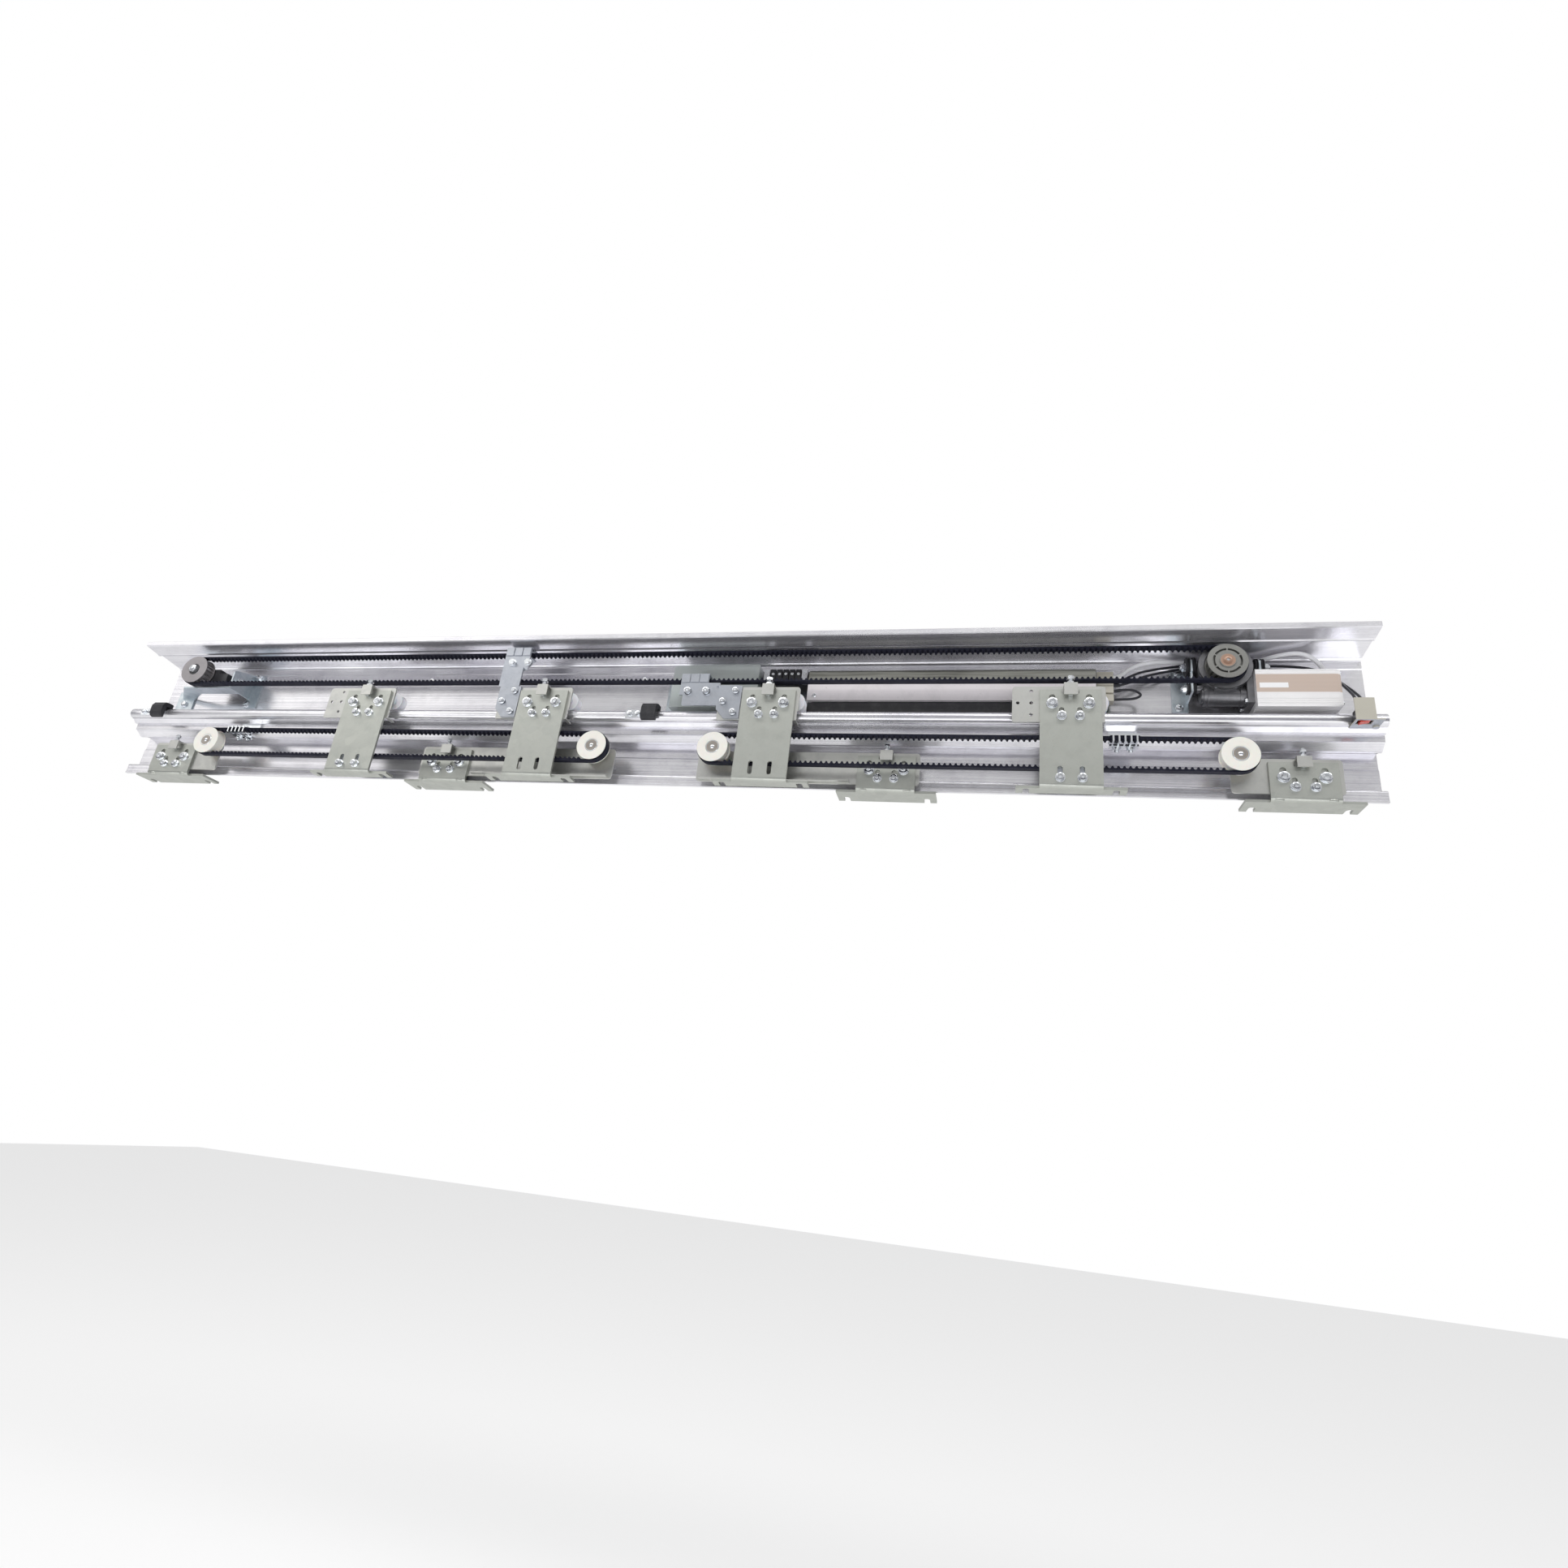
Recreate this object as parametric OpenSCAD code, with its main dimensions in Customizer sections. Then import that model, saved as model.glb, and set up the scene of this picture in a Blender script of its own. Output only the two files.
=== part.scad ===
// Belt-driven telescopic door operator: an aluminium beam with a worm gearmotor at one end,
// two pairs of fast door carriages on the upper track and two slow pairs on the lower rail.
// Frame: +X along the beam, +Z up, wall at y = 0, everything stands in front of it (y < 0).

/* [Beam] */
// Length of both aluminium profiles
beam_l = 2110; // [2060:10:2160]
// Height of the header profile's top lip above the origin
header_top = 128; // [122:1:136]
// Depth of the header profile's top flange
header_d = 90; // [86:1:94]
// Thickness of the profile walls
wall_t = 4.5; // [3.5:0.5:5.5]
// Radius of the round running track of the fast carriages
bead_r = 9.5; // [8.5:0.5:10]
// Distance of that track's middle from the wall
track_d = 59; // [57:1:60]
// Height of that track's crown
track_z = -2; // [-4:1:0]
// Bottom of the lower profile
beam_bottom = -121; // [-124:1:-119]
// Distance of the slow carriages' rail from the wall
rail_d = 30; // [28:1:31]
// Thickness of that rail
rail_t = 6; // [5:0.5:7]
// Height of that rail's crown
rail_z = -103; // [-105:1:-101]

/* [Belts] */
// Pitch of the belt teeth
pitch = 8; // [8:8]
// Width of the belts
belt_w = 11; // [10:0.5:12]
// Room for a belt between the flanges of its pulleys
groove_w = 15; // [14:0.5:15]
// Belt thickness behind the teeth
belt_back = 2.6; // [2:0.1:3]
// Height of the belt teeth
tooth_h = 3.4; // [3:0.1:3.6]
// Teeth on the drive and idler pulleys
main_teeth = 21; // [20:1:21]
// Teeth of the main belt
main_belt_n = 470; // [466:1:471]
// Place of the gearmotor's output shaft along the beam
drive_x = 858; // [854:1:860]
// Height of the main belt's middle
main_z = 75; // [74:1:76]
// Teeth on the four telescope pulleys
tele_teeth = 19; // [18:1:19]
// Height of the telescope belts' middle
tele_z = -72; // [-73:1:-71]
// Teeth of the left telescope belt
left_belt_n = 207; // [205:1:209]
// Teeth of the right telescope belt
right_belt_n = 208; // [206:1:210]
// Place of the left telescope belt's outer pulley
left_tele_x = -848; // [-850:1:-846]
// Place of the right telescope belt's outer pulley
right_tele_x = 864; // [862:1:867]

/* [Gearmotor] */
// Distance between the output shaft and the worm
gear_c = 37; // [36:0.5:38]
// Distance of the worm and motor axis from the wall
motor_d = 36; // [34.5:0.5:37]
// Width and height of the motor housing
motor_s = 59; // [56:1:61]
// Length of the motor housing
motor_l = 106; // [96:1:110]
// Outer radius of the gearbox's round part
box_r = 36; // [35:0.5:37]
// Radius of the output shaft
shaft_r = 5; // [4:0.5:6]
// Radius of the rubber mounts
mount_r = 15; // [13:0.5:16]

/* [Carriages] */
// Distance of the fast carriages' front face from the wall
fast_d = 85; // [84:1:88]
// Thickness of the hanger plates
plate_t = 4; // [3:0.5:4.5]
// Width of the fast hanger plates
fast_w = 86; // [84:1:90]
// Height of the fast hanger plates
fast_h = 154; // [150:1:156]
// Distance of the slow carriages' front face from the wall
slow_d = 53; // [52:0.5:54]
// Width of the slow hanger plates
slow_w = 88; // [84:1:92]
// Height of the slow hanger plates
slow_h = 58; // [56:1:60]
// Thickness of the roller and pulley plates
back_t = 3; // [2.5:0.5:3.5]
// Outer radius of the carriage rollers
roller_r = 17; // [16:0.5:18]
// Width of the carriage rollers
roller_w = 14; // [12:0.5:14]
// Half the distance between a fast carriage's two rollers
roller_x = 38; // [36:1:39]
// Width of the foot flanges that carry the doors
foot_w = 150; // [144:1:154]

/* [Controls] */
// Left end of the power supply
supply_x = 10; // [6:1:12]
// Length of the power supply
supply_l = 148; // [140:1:150]
// Left end of the controller
control_x = 242; // [240:1:250]
// Length of the controller
control_l = 440; // [420:5:440]
// Left end of the switch bracket
switch_x = 1008; // [1006:1:1010]

/* [Hidden] */

// Fits: shafts in bores, curved faces that pass each other, and loose clearances
run_fit = 0.05;
near = 0.3;
clear = 1;

// Planes measured from the wall
y_fast = -fast_d;
y_fast_back = y_fast + plate_t;
y_slow = -slow_d;
y_slow_back = y_slow + plate_t;
y_track = -track_d;
y_rail = -rail_d;
foot_z = -130;
seam_z = -27;
left_end = -beam_l / 2;

// Belts: the pitch line lies this far outside the foot of the teeth
pitch_off = 0.69;
main_r = pitch * main_teeth / (2 * PI);
tele_r = pitch * tele_teeth / (2 * PI);
idler_x = drive_x - (main_belt_n - main_teeth) * pitch / 2;
left_tele_x2 = left_tele_x + (left_belt_n - tele_teeth) * pitch / 2;
right_tele_x2 = right_tele_x - (right_belt_n - tele_teeth) * pitch / 2;
TELE_X = [left_tele_x, left_tele_x2, right_tele_x2, right_tele_x];
main_belt_y = y_track - groove_w;
tele_belt_y = y_fast_back + 2.8;
main_flange_r = main_r + 0.6;
tele_disc_r = tele_r + 0.8;
disc_t = 1.5;

// Carriages: places along the beam, and sizes that their plates and bolts share
FAST_X = [-533, -197, 190, 642];
SLOW_X = [-937, -370, 378, 948];
BIG = [25.5, 1];
SMALL = [12.5, -19];
FOOT_BOLT = [15, -115.5];
SLOW_BIG = [26, -95];
SLOW_SMALL = [12.5, -109];
fast_top = foot_z + fast_h;
slow_top = foot_z + slow_h;
bolt_r = 4;
axle_r = 5;
fast_roller_z = track_z + roller_r - 3 + near;
slow_roller_z = rail_z + roller_r - 3 + near;
fast_foot_d = 25;
slow_foot_d = 44;

// Gearmotor
worm_z = main_z - gear_c;
motor_y = -motor_d;
wheel_teeth = 33;
worm_r = 9;
wheel_r = gear_c - worm_r - near;
box_y = y_track + 3;
box_back = -13.5;
motor_x = drive_x + 37;
mount_y = -38;
mount_z = main_z + 10;
mount_x = drive_x - 44.5;
mount_x2 = drive_x + 48;
mount_low = main_z - 26;
mount_low_r = 9;
ear_r = 7;
mount_bore = 3;

// ---- helpers -------------------------------------------------------------------------------

// A (y, z) outline pushed along the beam from x
module along_x(x, len) translate([x, 0, 0]) rotate([90, 0, 90]) linear_extrude(len) children();

// An (x, z) outline as a sheet whose front face is at y
module sheet(y, t) translate([0, y + t, 0]) rotate([90, 0, 0]) linear_extrude(t) children();

module rod_x(x, y, z, len, r) translate([x, y, z]) rotate([0, 90, 0]) cylinder(r = r, h = len, $fn = 48);
module rod_y(x, z, y, len, r) translate([x, y, z]) rotate([-90, 0, 0]) cylinder(r = r, h = len, $fn = 48);
module rod_z(x, y, z, len, r) translate([x, y, z]) cylinder(r = r, h = len, $fn = 48);
module hex_y(x, z, y, len, af)
  translate([x, y, z]) rotate([-90, 0, 0]) cylinder(r = af / sqrt(3), h = len, $fn = 6);
module hex_x(x, y, z, len, af)
  translate([x, y, z]) rotate([0, 90, 0]) cylinder(r = af / sqrt(3), h = len, $fn = 6);
module hex_z(x, y, z, len, af) translate([x, y, z]) cylinder(r = af / sqrt(3), h = len, $fn = 6);

// Rectangle with round corners, from its lowest to its highest corner
module round_rect(x0, z0, x1, z1, r) {
  translate([x0 + r, z0]) square([x1 - x0 - 2 * r, z1 - z0]);
  translate([x0, z0 + r]) square([x1 - x0, z1 - z0 - 2 * r]);
  for (x = [x0 + r, x1 - r], z = [z0 + r, z1 - r]) translate([x, z]) circle(r = r, $fn = 32);
}

// Upright slot of width w between heights z0 and z1
module slot(x, z0, z1, w) {
  translate([x - w / 2, z0 + w / 2]) square([w, z1 - z0 - w]);
  for (z = [z0 + w / 2, z1 - w / 2]) translate([x, z]) circle(r = w / 2, $fn = 32);
}

// Bolt through plates from y_back forward to y_face, with washer and nut in front
module front_nut(x, z, y_face, y_back, r, af, washer_r, nut_t = 5.5) {
  rod_y(x, z, y_face - 1.5, 1.5, washer_r);
  hex_y(x, z, y_face - 1.5 - nut_t, nut_t, af);
  rod_y(x, z, y_face - 2.2 - nut_t, y_back - y_face + 2.2 + nut_t, r);
  rod_y(x, z, y_back, 2.5, r + 3);
}

// Hex-head screw that holds something on a face looking towards -Y
module face_screw(x, z, y_face, r, len) {
  rod_y(x, z, y_face - 1, 1, r * 2.1);
  hex_y(x, z, y_face - 1 - r, r, r * 3.2);
  rod_y(x, z, y_face, len, r);
}

// ---- beam ----------------------------------------------------------------------------------

module header_section() {
  top = header_top;
  difference() {
    union() {
      polygon([
        [0, seam_z], [0, top - 14], [-12, top - 9], [-58, top - 4], [-header_d + 1, top],
        [-header_d, top - 1], [-header_d, top - 8], [-header_d + 2, top - 9], [-63, top - 12],
        [-61, top - 13.5], [-58.5, top - 13], [-58, top - 9], [-16, top - 13], [-10, top - 13.5],
        [-8.5, top - 15.5], [-6, top - 16.5], [-wall_t - 1, top - 17], [-wall_t - 1, top - 28.5],
        [-wall_t, top - 29.5], [-wall_t, track_z - 5], [y_track, track_z - 5],
        [y_track, track_z - 2 * bead_r + 1], [y_track + 6, seam_z], [y_track + 13, seam_z],
        [y_track + 13, track_z - 9.5], [-wall_t, track_z - 9.5], [-wall_t, seam_z]]);
      translate([y_track, track_z - bead_r]) circle(r = bead_r, $fn = 64);
    }
    // Hollow behind the running bead, and two grooves along the bead's front
    polygon([
      [y_track + 6, track_z - 12], [y_track + 10.5, track_z - 12], [y_track + 10.5, seam_z + 3],
      [y_track + 8, seam_z + 3], [y_track + 6, seam_z + 6]]);
    for (a = [12, 38]) translate([y_track, track_z - bead_r]) rotate(180 - a)
      translate([bead_r - 0.5, -0.5]) square([1, 1]);
  }
}

module header_profile() {
  color("silver") difference() {
    along_x(left_end, beam_l) header_section();
    // Wall fixing holes, beside the units, then the holes of every screw in this profile
    for (x = WALL_X) rod_y(x, WALL_Z, -wall_t - 1, wall_t + 2, 4.5);
    for (x = JOIN_X) rod_z(x, JOIN_Y, track_z - 11, 8, join_r + run_fit);
    for (p = BRACKET_SCREWS) rod_y(p[0], p[1], -wall_t - 1, wall_t + 2, bracket_screw_r + run_fit);
    for (x = STOP_X, dx = STOP_SCREWS) rod_y(x + dx, bead_z, y_track - bead_r - 1, 9, clip_screw_r + run_fit);
    rod_z(switch_x + switch_screw_dx, switch_screw_y, switch_z - 1, 10, 2 + run_fit);
  }
}

// Wall fixing holes: places along the beam and their height
WALL_X = [left_end + 170, -480, -60, left_end + beam_l - 335];
WALL_Z = 88;

module lower_section() {
  lip = y_track + 12.5;
  rail = y_rail - rail_t / 2;
  low = beam_bottom;
  difference() {
    polygon([
      [0, seam_z], [lip, seam_z], [lip + 0.5, seam_z - 10], [lip + 2, seam_z - 10.5],
      [lip + 14, seam_z - 18.5], [lip + 18, seam_z - 19], [lip + 21, seam_z - 16],
      [-12, seam_z - 13], [-12, -64], [-13.5, -66], [-13.5, low + 13], [rail + rail_t, low + 13],
      [rail + rail_t, rail_z - rail_t / 2], [rail, rail_z - rail_t / 2], [rail, low + 10.5],
      [rail + 0.8, low + 10], [rail, low + 9.5], [rail, low + 3], [rail - 0.8, low + 2.5],
      [rail - 0.8, low], [rail + 3.5, low], [rail + 3.5, low + 9], [-9.5, low + 9],
      [-9.5, low + 12.5], [0, low + 12.5], [0, low + 16.5], [-9.5, low + 16.5], [-9.5, -66],
      [-8.5, -64], [-8.5, seam_z - 4], [0, seam_z - 4]]);
    // Hollow lip
    polygon([
      [lip + 4, seam_z - 4], [lip + 30, seam_z - 4], [lip + 30, seam_z - 10], [lip + 17, seam_z - 13],
      [lip + 5, seam_z - 8]]);
  }
  translate([y_rail, rail_z - rail_t / 2]) circle(r = rail_t / 2, $fn = 48);
}

module lower_profile() {
  color("silver") difference() {
    along_x(left_end, beam_l) lower_section();
    for (x = JOIN_X) rod_z(x, JOIN_Y, seam_z - 5, 6, join_r + run_fit);
    for (x = ANCHOR_X, dx = ANCHOR_BOLTS) rod_y(x + dx, seam_z - 5, y_track + 11.5, 6, rivet_r + run_fit);
  }
}

// Bolts that tie the lower profile to the header's web, and screws of the units on the beam
JOIN_X = [for (i = [0:5]) left_end + 105 + i * (beam_l - 210) / 5];
JOIN_Y = -24;
join_r = 2.5;
bracket_screw_r = 3;
clip_screw_r = 2.5;
module beam_fasteners() {
  web = track_z - 5;
  color("gainsboro") {
    for (x = JOIN_X) {
      rod_z(x, JOIN_Y, seam_z - 5, web + 5 - seam_z + 5, join_r);
      hex_z(x, JOIN_Y, seam_z - 8, 4, 8);
      hex_z(x, JOIN_Y, web, 4, 8);
    }
    for (p = BRACKET_SCREWS) face_screw(p[0], p[1], -wall_t - 3, bracket_screw_r, 3 + wall_t - 1);
    for (x = STOP_X, dx = STOP_SCREWS) face_screw(x + dx, bead_z, y_track - bead_r - 2, clip_screw_r, 8);
    // Studs of the rubber mounts, with washer and nut at their outer ends
    for (z = [mount_z, mount_low]) {
      rod_x(mount_x - 13, mount_y, z, 26, mount_bore);
      rod_x(mount_x - 6.5, mount_y, z, 1.5, 6.5);
      hex_x(mount_x - 11.5, mount_y, z, 5, 10);
    }
    rod_x(mount_x2 - 12, mount_y, mount_z, 29, mount_bore);
    rod_x(mount_x2 + 8, mount_y, mount_z, 1.5, 6.5);
    hex_x(mount_x2 + 9.5, mount_y, mount_z, 5, 10);
  }
}

// ---- gearmotor -----------------------------------------------------------------------------

BRACKET_SCREWS = [
  [mount_x - 10, main_z + 18], [mount_x - 10, main_z - 42], [mount_x2 + 17, mount_z - 8],
  [idler_x - 73, 36], [idler_x + 72, 35], [idler_x + 81, 92]];

module motor_bracket() {
  foot_x = mount_x - 20;
  depth = -wall_t - mount_y;
  color("lightsteelblue") difference() {
    union() {
      // Left side: foot on the wall and the flange that carries two rubber mounts
      sheet(-wall_t - 3, 3) round_rect(foot_x, main_z - 49, mount_x + 3, header_top - 30, 2);
      translate([mount_x, mount_y - 12, mount_z - 12]) cube([3, depth + 12, 19]);
      translate([mount_x, mount_y - 9, mount_low - 8]) cube([3, depth + 9, mount_z - mount_low]);
      // Right side: foot and flange of the third mount
      sheet(-wall_t - 3, 3) round_rect(mount_x2, mount_z - 16, mount_x2 + 27, mount_z + 4, 2);
      translate([mount_x2, mount_y - 10, mount_z - 12]) cube([3, depth + 10, 18]);
    }
    rod_x(mount_x - 1, mount_y, mount_z, 5, mount_bore + 1);
    rod_x(mount_x - 1, mount_y, mount_low, 5, mount_bore + 1);
    rod_x(mount_x2 - 1, mount_y, mount_z, 5, mount_bore + 1);
    for (i = [0:2]) rod_y(BRACKET_SCREWS[i][0], BRACKET_SCREWS[i][1], -wall_t - 4, 5, bracket_screw_r + 0.2);
  }
}

// Rubber discs on both sides of a flange whose left face is at x, with a bore for the stud
module disc_pair(x, z, r) {
  for (dx = [-5, 3]) difference() {
    rod_x(x + dx, mount_y, z, 5, r);
    rod_x(x + dx - 1, mount_y, z, 7, mount_bore + run_fit);
  }
}

module rubber_mounts() {
  color([0.1, 0.1, 0.1]) {
    disc_pair(mount_x, mount_z, mount_r);
    disc_pair(mount_x, mount_low, mount_low_r);
    disc_pair(mount_x2, mount_z, mount_r - 3);
  }
}

// The gearbox casting: round wheel case, worm tunnel, ears for the mounts and the motor flange
module gearbox_housing() {
  tunnel_r = worm_r + 5.5;
  color([0.27, 0.28, 0.29]) difference() {
    union() {
      rod_y(drive_x, main_z, box_y, box_back - box_y, box_r);
      rod_x(drive_x - 28, motor_y, worm_z, 56, tunnel_r);
      rod_x(drive_x - 30, motor_y, worm_z, 2, tunnel_r - 3);
      translate([drive_x - 15, motor_y - tunnel_r - 1, worm_z - 3]) cube([32, 12, 10]);
      translate([drive_x - 24, motor_y - 12, worm_z]) cube([48, 26, 20]);
      translate([motor_x - 9, motor_y - 19, worm_z - 19]) cube([9, 38, 46]);
      // Ears that meet the mounts
      rod_x(mount_x + 8, mount_y, mount_z, 17, ear_r);
      rod_x(mount_x + 8, mount_y, mount_low, 23, ear_r - 1);
      rod_x(drive_x + 28, mount_y, mount_z, mount_x2 - 5 - drive_x - 28, ear_r);
    }
    rod_x(mount_x + 7, mount_y, mount_z, 8, mount_bore + run_fit);
    rod_x(mount_x + 7, mount_y, mount_low, 8, mount_bore + run_fit);
    rod_x(mount_x2 - 13, mount_y, mount_z, 9, mount_bore + run_fit);
    // Wheel chamber, worm tunnel, and the seats of the bearings
    rod_y(drive_x, main_z, -46, 23, wheel_r + 1.2);
    rod_x(drive_x - 27, motor_y, worm_z, motor_x - drive_x + 28, worm_r + clear);
    rod_y(drive_x, main_z, box_y - 1, box_back - box_y + 2, 11);
    rod_x(drive_x + 27, motor_y, worm_z, 20, 11);
    // Screw holes at the motor flange's corners
    for (dy = [-14, 14], dz = [-14, 22]) rod_x(motor_x - 10, motor_y + dy, worm_z + dz, 4, 2);
  }
}

// Square extrusion: flat front with shallow grooves along both edges, fins on the back
module motor_section() {
  s = motor_s / 2;
  difference() {
    polygon([
      [-s + 2, -s], [s - 2, -s], [s, -s + 2], [s, s - 2], [s - 2, s], [-s + 2, s],
      [-s, s - 2], [-s, -s + 2]]);
    for (z = [-s + 4, -s + 7.5, -s + 11, s - 4.5, s - 8]) translate([-s - 0.1, z]) square([0.7, 0.9]);
    for (i = [0:6], m = [-1, 1]) translate([-16 + i * 5, m > 0 ? s - 1.9 : -s - 0.1]) square([1.8, 2]);
    circle(r = 25, $fn = 72);
  }
}

module motor_housing() {
  color([0.93, 0.92, 0.9]) {
    along_x(motor_x, motor_l) translate([motor_y, worm_z]) motor_section();
    difference() {
      along_x(motor_x + motor_l, 3) translate([motor_y, worm_z]) square(motor_s - 3, center = true);
      rod_x(motor_x + motor_l - 1, motor_y, worm_z, 2.6, 9 + run_fit);
    }
    difference() {
      rod_x(motor_x, motor_y, worm_z, 3, 25);
      rod_x(motor_x - 1, motor_y, worm_z, 5, 11);
    }
  }
}

module motor_windings() {
  color([0.72, 0.4, 0.2])
  for (a = [0, 180]) rotate_about_motor(a) along_x(motor_x + 14, motor_l - 34) difference() {
    intersection() {
      circle(r = 25 - near, $fn = 72);
      translate([-40, 6]) square([80, 40]);
    }
    circle(r = 18, $fn = 72);
  }
}

module rotate_about_motor(a) translate([0, motor_y, worm_z]) rotate([a, 0, 0]) children();

// A bearing ring: outer radius, bore, length
module ring_x(x, len, r, bore) difference() {
  rod_x(x, motor_y, worm_z, len, r);
  rod_x(x - 1, motor_y, worm_z, len + 2, bore);
}
module ring_y(y, len, r, bore) difference() {
  rod_y(drive_x, main_z, y, len, r);
  rod_y(drive_x, main_z, y - 1, len + 2, bore);
}

module gearmotor_bearings() {
  color("lightgray") {
    ring_y(box_y + 1, 8, 11, shaft_r + run_fit);
    ring_y(box_back - 9, 8, 11, shaft_r + run_fit);
    ring_x(drive_x + 28, 8, 11, 4 + run_fit);
    ring_x(drive_x - 27, 6, worm_r + clear, 4 + run_fit);
    ring_x(motor_x + motor_l - 0.9, 2.4, 9, 4 + run_fit);
  }
}

module output_shaft() {
  color("silver") rod_y(drive_x, main_z, main_belt_y - 5, box_back - 1 - main_belt_y + 5, shaft_r);
}

module worm_wheel() {
  tooth = 360 / wheel_teeth;
  color([0.8, 0.65, 0.35]) sheet_at_drive(-44, 15) difference() {
    polygon([for (i = [0:wheel_teeth - 1], k = [0:3])
      let (a = (i + [0, 0.18, 0.5, 0.68][k]) * tooth, r = [wheel_r - 4, wheel_r, wheel_r, wheel_r - 4][k])
      [r * cos(a), r * sin(a)]]);
    circle(r = shaft_r, $fn = 48);
    for (i = [0:5]) rotate(60 * i) translate([wheel_r * 0.57, 0]) circle(r = 3.5, $fn = 32);
  }
}
module sheet_at_drive(y, t) translate([drive_x, 0, main_z]) sheet(y, t) children();

module motor_rotor() {
  color("darkgray") {
    rod_x(drive_x - 26.5, motor_y, worm_z, motor_x + motor_l + 1 - drive_x + 26.5, 4);
    // Worm with two starts, cut on the shaft
    translate([drive_x - 19, motor_y, worm_z]) rotate([0, 90, 0])
      linear_extrude(38, twist = 1341, slices = 60)
        polygon([for (i = [0:11]) let (a = i * 30) (worm_r - 2 + 2 * cos(2 * a)) * [cos(a), sin(a)]]);
    difference() {
      rod_x(motor_x + 16, motor_y, worm_z, motor_l - 38, 17);
      for (i = [0:7]) rotate_slot(i * 45);
    }
  }
}
module rotate_slot(a) rotate_about_motor(a) translate([motor_x + 15, -1.2, 12]) cube([motor_l - 36, 2.4, 6]);

// Toothed pulley along Y: flanges at both ends, bore of the given radius
module toothed_pulley(x, z, teeth, y, flange_r, flange_t, bore) {
  r = pitch * teeth / (2 * PI) - pitch_off - near;
  step = 360 / teeth;
  translate([x, 0, z]) difference() {
    union() {
      sheet(y, groove_w + 1) polygon([for (i = [0:teeth - 1], k = [0:3])
        let (a = (i + [0, 0.1, 0.52, 0.62][k]) * step, q = [r - tooth_h, r, r, r - tooth_h][k])
        [q * cos(a), q * sin(a)]]);
      rod_y(0, 0, y - flange_t, flange_t, flange_r);
      rod_y(0, 0, y + groove_w + 1, flange_t, flange_r);
    }
    rod_y(0, 0, y - flange_t - 1, groove_w + 2 * flange_t + 3, bore);
  }
}

module drive_pulley() {
  y = main_belt_y - 0.5;
  color([0.48, 0.48, 0.46]) difference() {
    toothed_pulley(drive_x, main_z, main_teeth, y, main_flange_r, 2, shaft_r);
    // Ring of six slots in the front face
    difference() {
      rod_y(drive_x, main_z, y - 3, 6, main_flange_r - 7.5);
      rod_y(drive_x, main_z, y - 4, 8, main_flange_r - 10.5);
      for (i = [0:5]) translate([drive_x, y - 4, main_z]) rotate([0, 30 + 60 * i, 0])
        translate([0, 0, -1]) cube([main_flange_r, 8, 2]);
    }
  }
  // Hub nut disc on the shaft's end
  color([0.65, 0.53, 0.47]) difference() {
    rod_y(drive_x, main_z, y - 3.5, 1.5, 11);
    rod_y(drive_x, main_z, y - 4.5, 3, shaft_r);
  }
}

module idler_pulley() {
  color([0.6, 0.6, 0.6]) difference() {
    toothed_pulley(idler_x, main_z, main_teeth, main_belt_y - 0.5, main_flange_r, 2, 5 + run_fit);
    rod_y(idler_x, main_z, main_belt_y - 3.5, 3, 11);
  }
}

// ---- idler bracket and tensioner -----------------------------------------------------------

gusset_x = idler_x + 70;
shelf_d = 25;
shelf_z = main_z - 29;
tension_z = main_z - 8;
tension_y = -42;
module idler_bracket() {
  front = y_track + 3;
  color("lightsteelblue") difference() {
    union() {
      translate([0, 0, shelf_z]) linear_extrude(3) polygon([
        [gusset_x + 3, front], [idler_x - 32, front], [idler_x - 84, -wall_t], [idler_x - 56, -wall_t],
        [idler_x - 14, front + shelf_d], [gusset_x + 3, front + shelf_d]]);
      sheet(-wall_t - 3, 3) {
        round_rect(idler_x - 92, shelf_z - 24, idler_x - 54, shelf_z + 16, 2);
        round_rect(gusset_x - 3, shelf_z - 18, gusset_x + 23, header_top - 30, 2);
      }
      along_x(gusset_x, 3) polygon([[-wall_t, shelf_z], [-wall_t, header_top - 32], [-12, header_top - 32],
        [front + 4, main_z + 9], [front, main_z + 5], [front, shelf_z]]);
    }
    for (i = [3:5]) rod_y(BRACKET_SCREWS[i][0], BRACKET_SCREWS[i][1], -wall_t - 4, 5, bracket_screw_r + 0.2);
    rod_x(gusset_x - 1, tension_y, tension_z, 5, 3.3);
  }
}

module belt_tensioner() {
  y0 = main_belt_y + groove_w + 3.2;
  color([0.13, 0.13, 0.14]) difference() {
    union() {
      translate([idler_x - 12, y0, shelf_z + 3]) cube([50, 20, 36]);
      translate([idler_x + 30, y0, main_z - 17]) cube([gusset_x - 12 - idler_x - 30, 18, 18]);
    }
    rod_y(idler_x, main_z, y0 - 1, 22, 5 + run_fit);
    rod_x(idler_x + 20, tension_y, tension_z, 70, 3 + run_fit);
  }
  // Tension bolt with its nuts, and the idler's axle bolt
  color("gainsboro") {
    rod_x(idler_x + 22, tension_y, tension_z, gusset_x + 14 - idler_x - 22, 3);
    hex_x(gusset_x - 5.3, tension_y, tension_z, 5, 10);
    hex_x(gusset_x + 3.3, tension_y, tension_z, 5, 10);
    rod_y(idler_x, main_z, main_belt_y - 3, y0 + 20 - main_belt_y + 3, 5);
    hex_y(idler_x, main_z, main_belt_y - 7, 4, 13);
  }
}

// ---- end stops -----------------------------------------------------------------------------

// Middle of each rubber stop along the beam, and its clip's screws beside it
STOP_X = [-986, -9.5];
STOP_SCREWS = [-34, -20];
stop_w = 26;
bead_z = track_z - bead_r;

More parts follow.
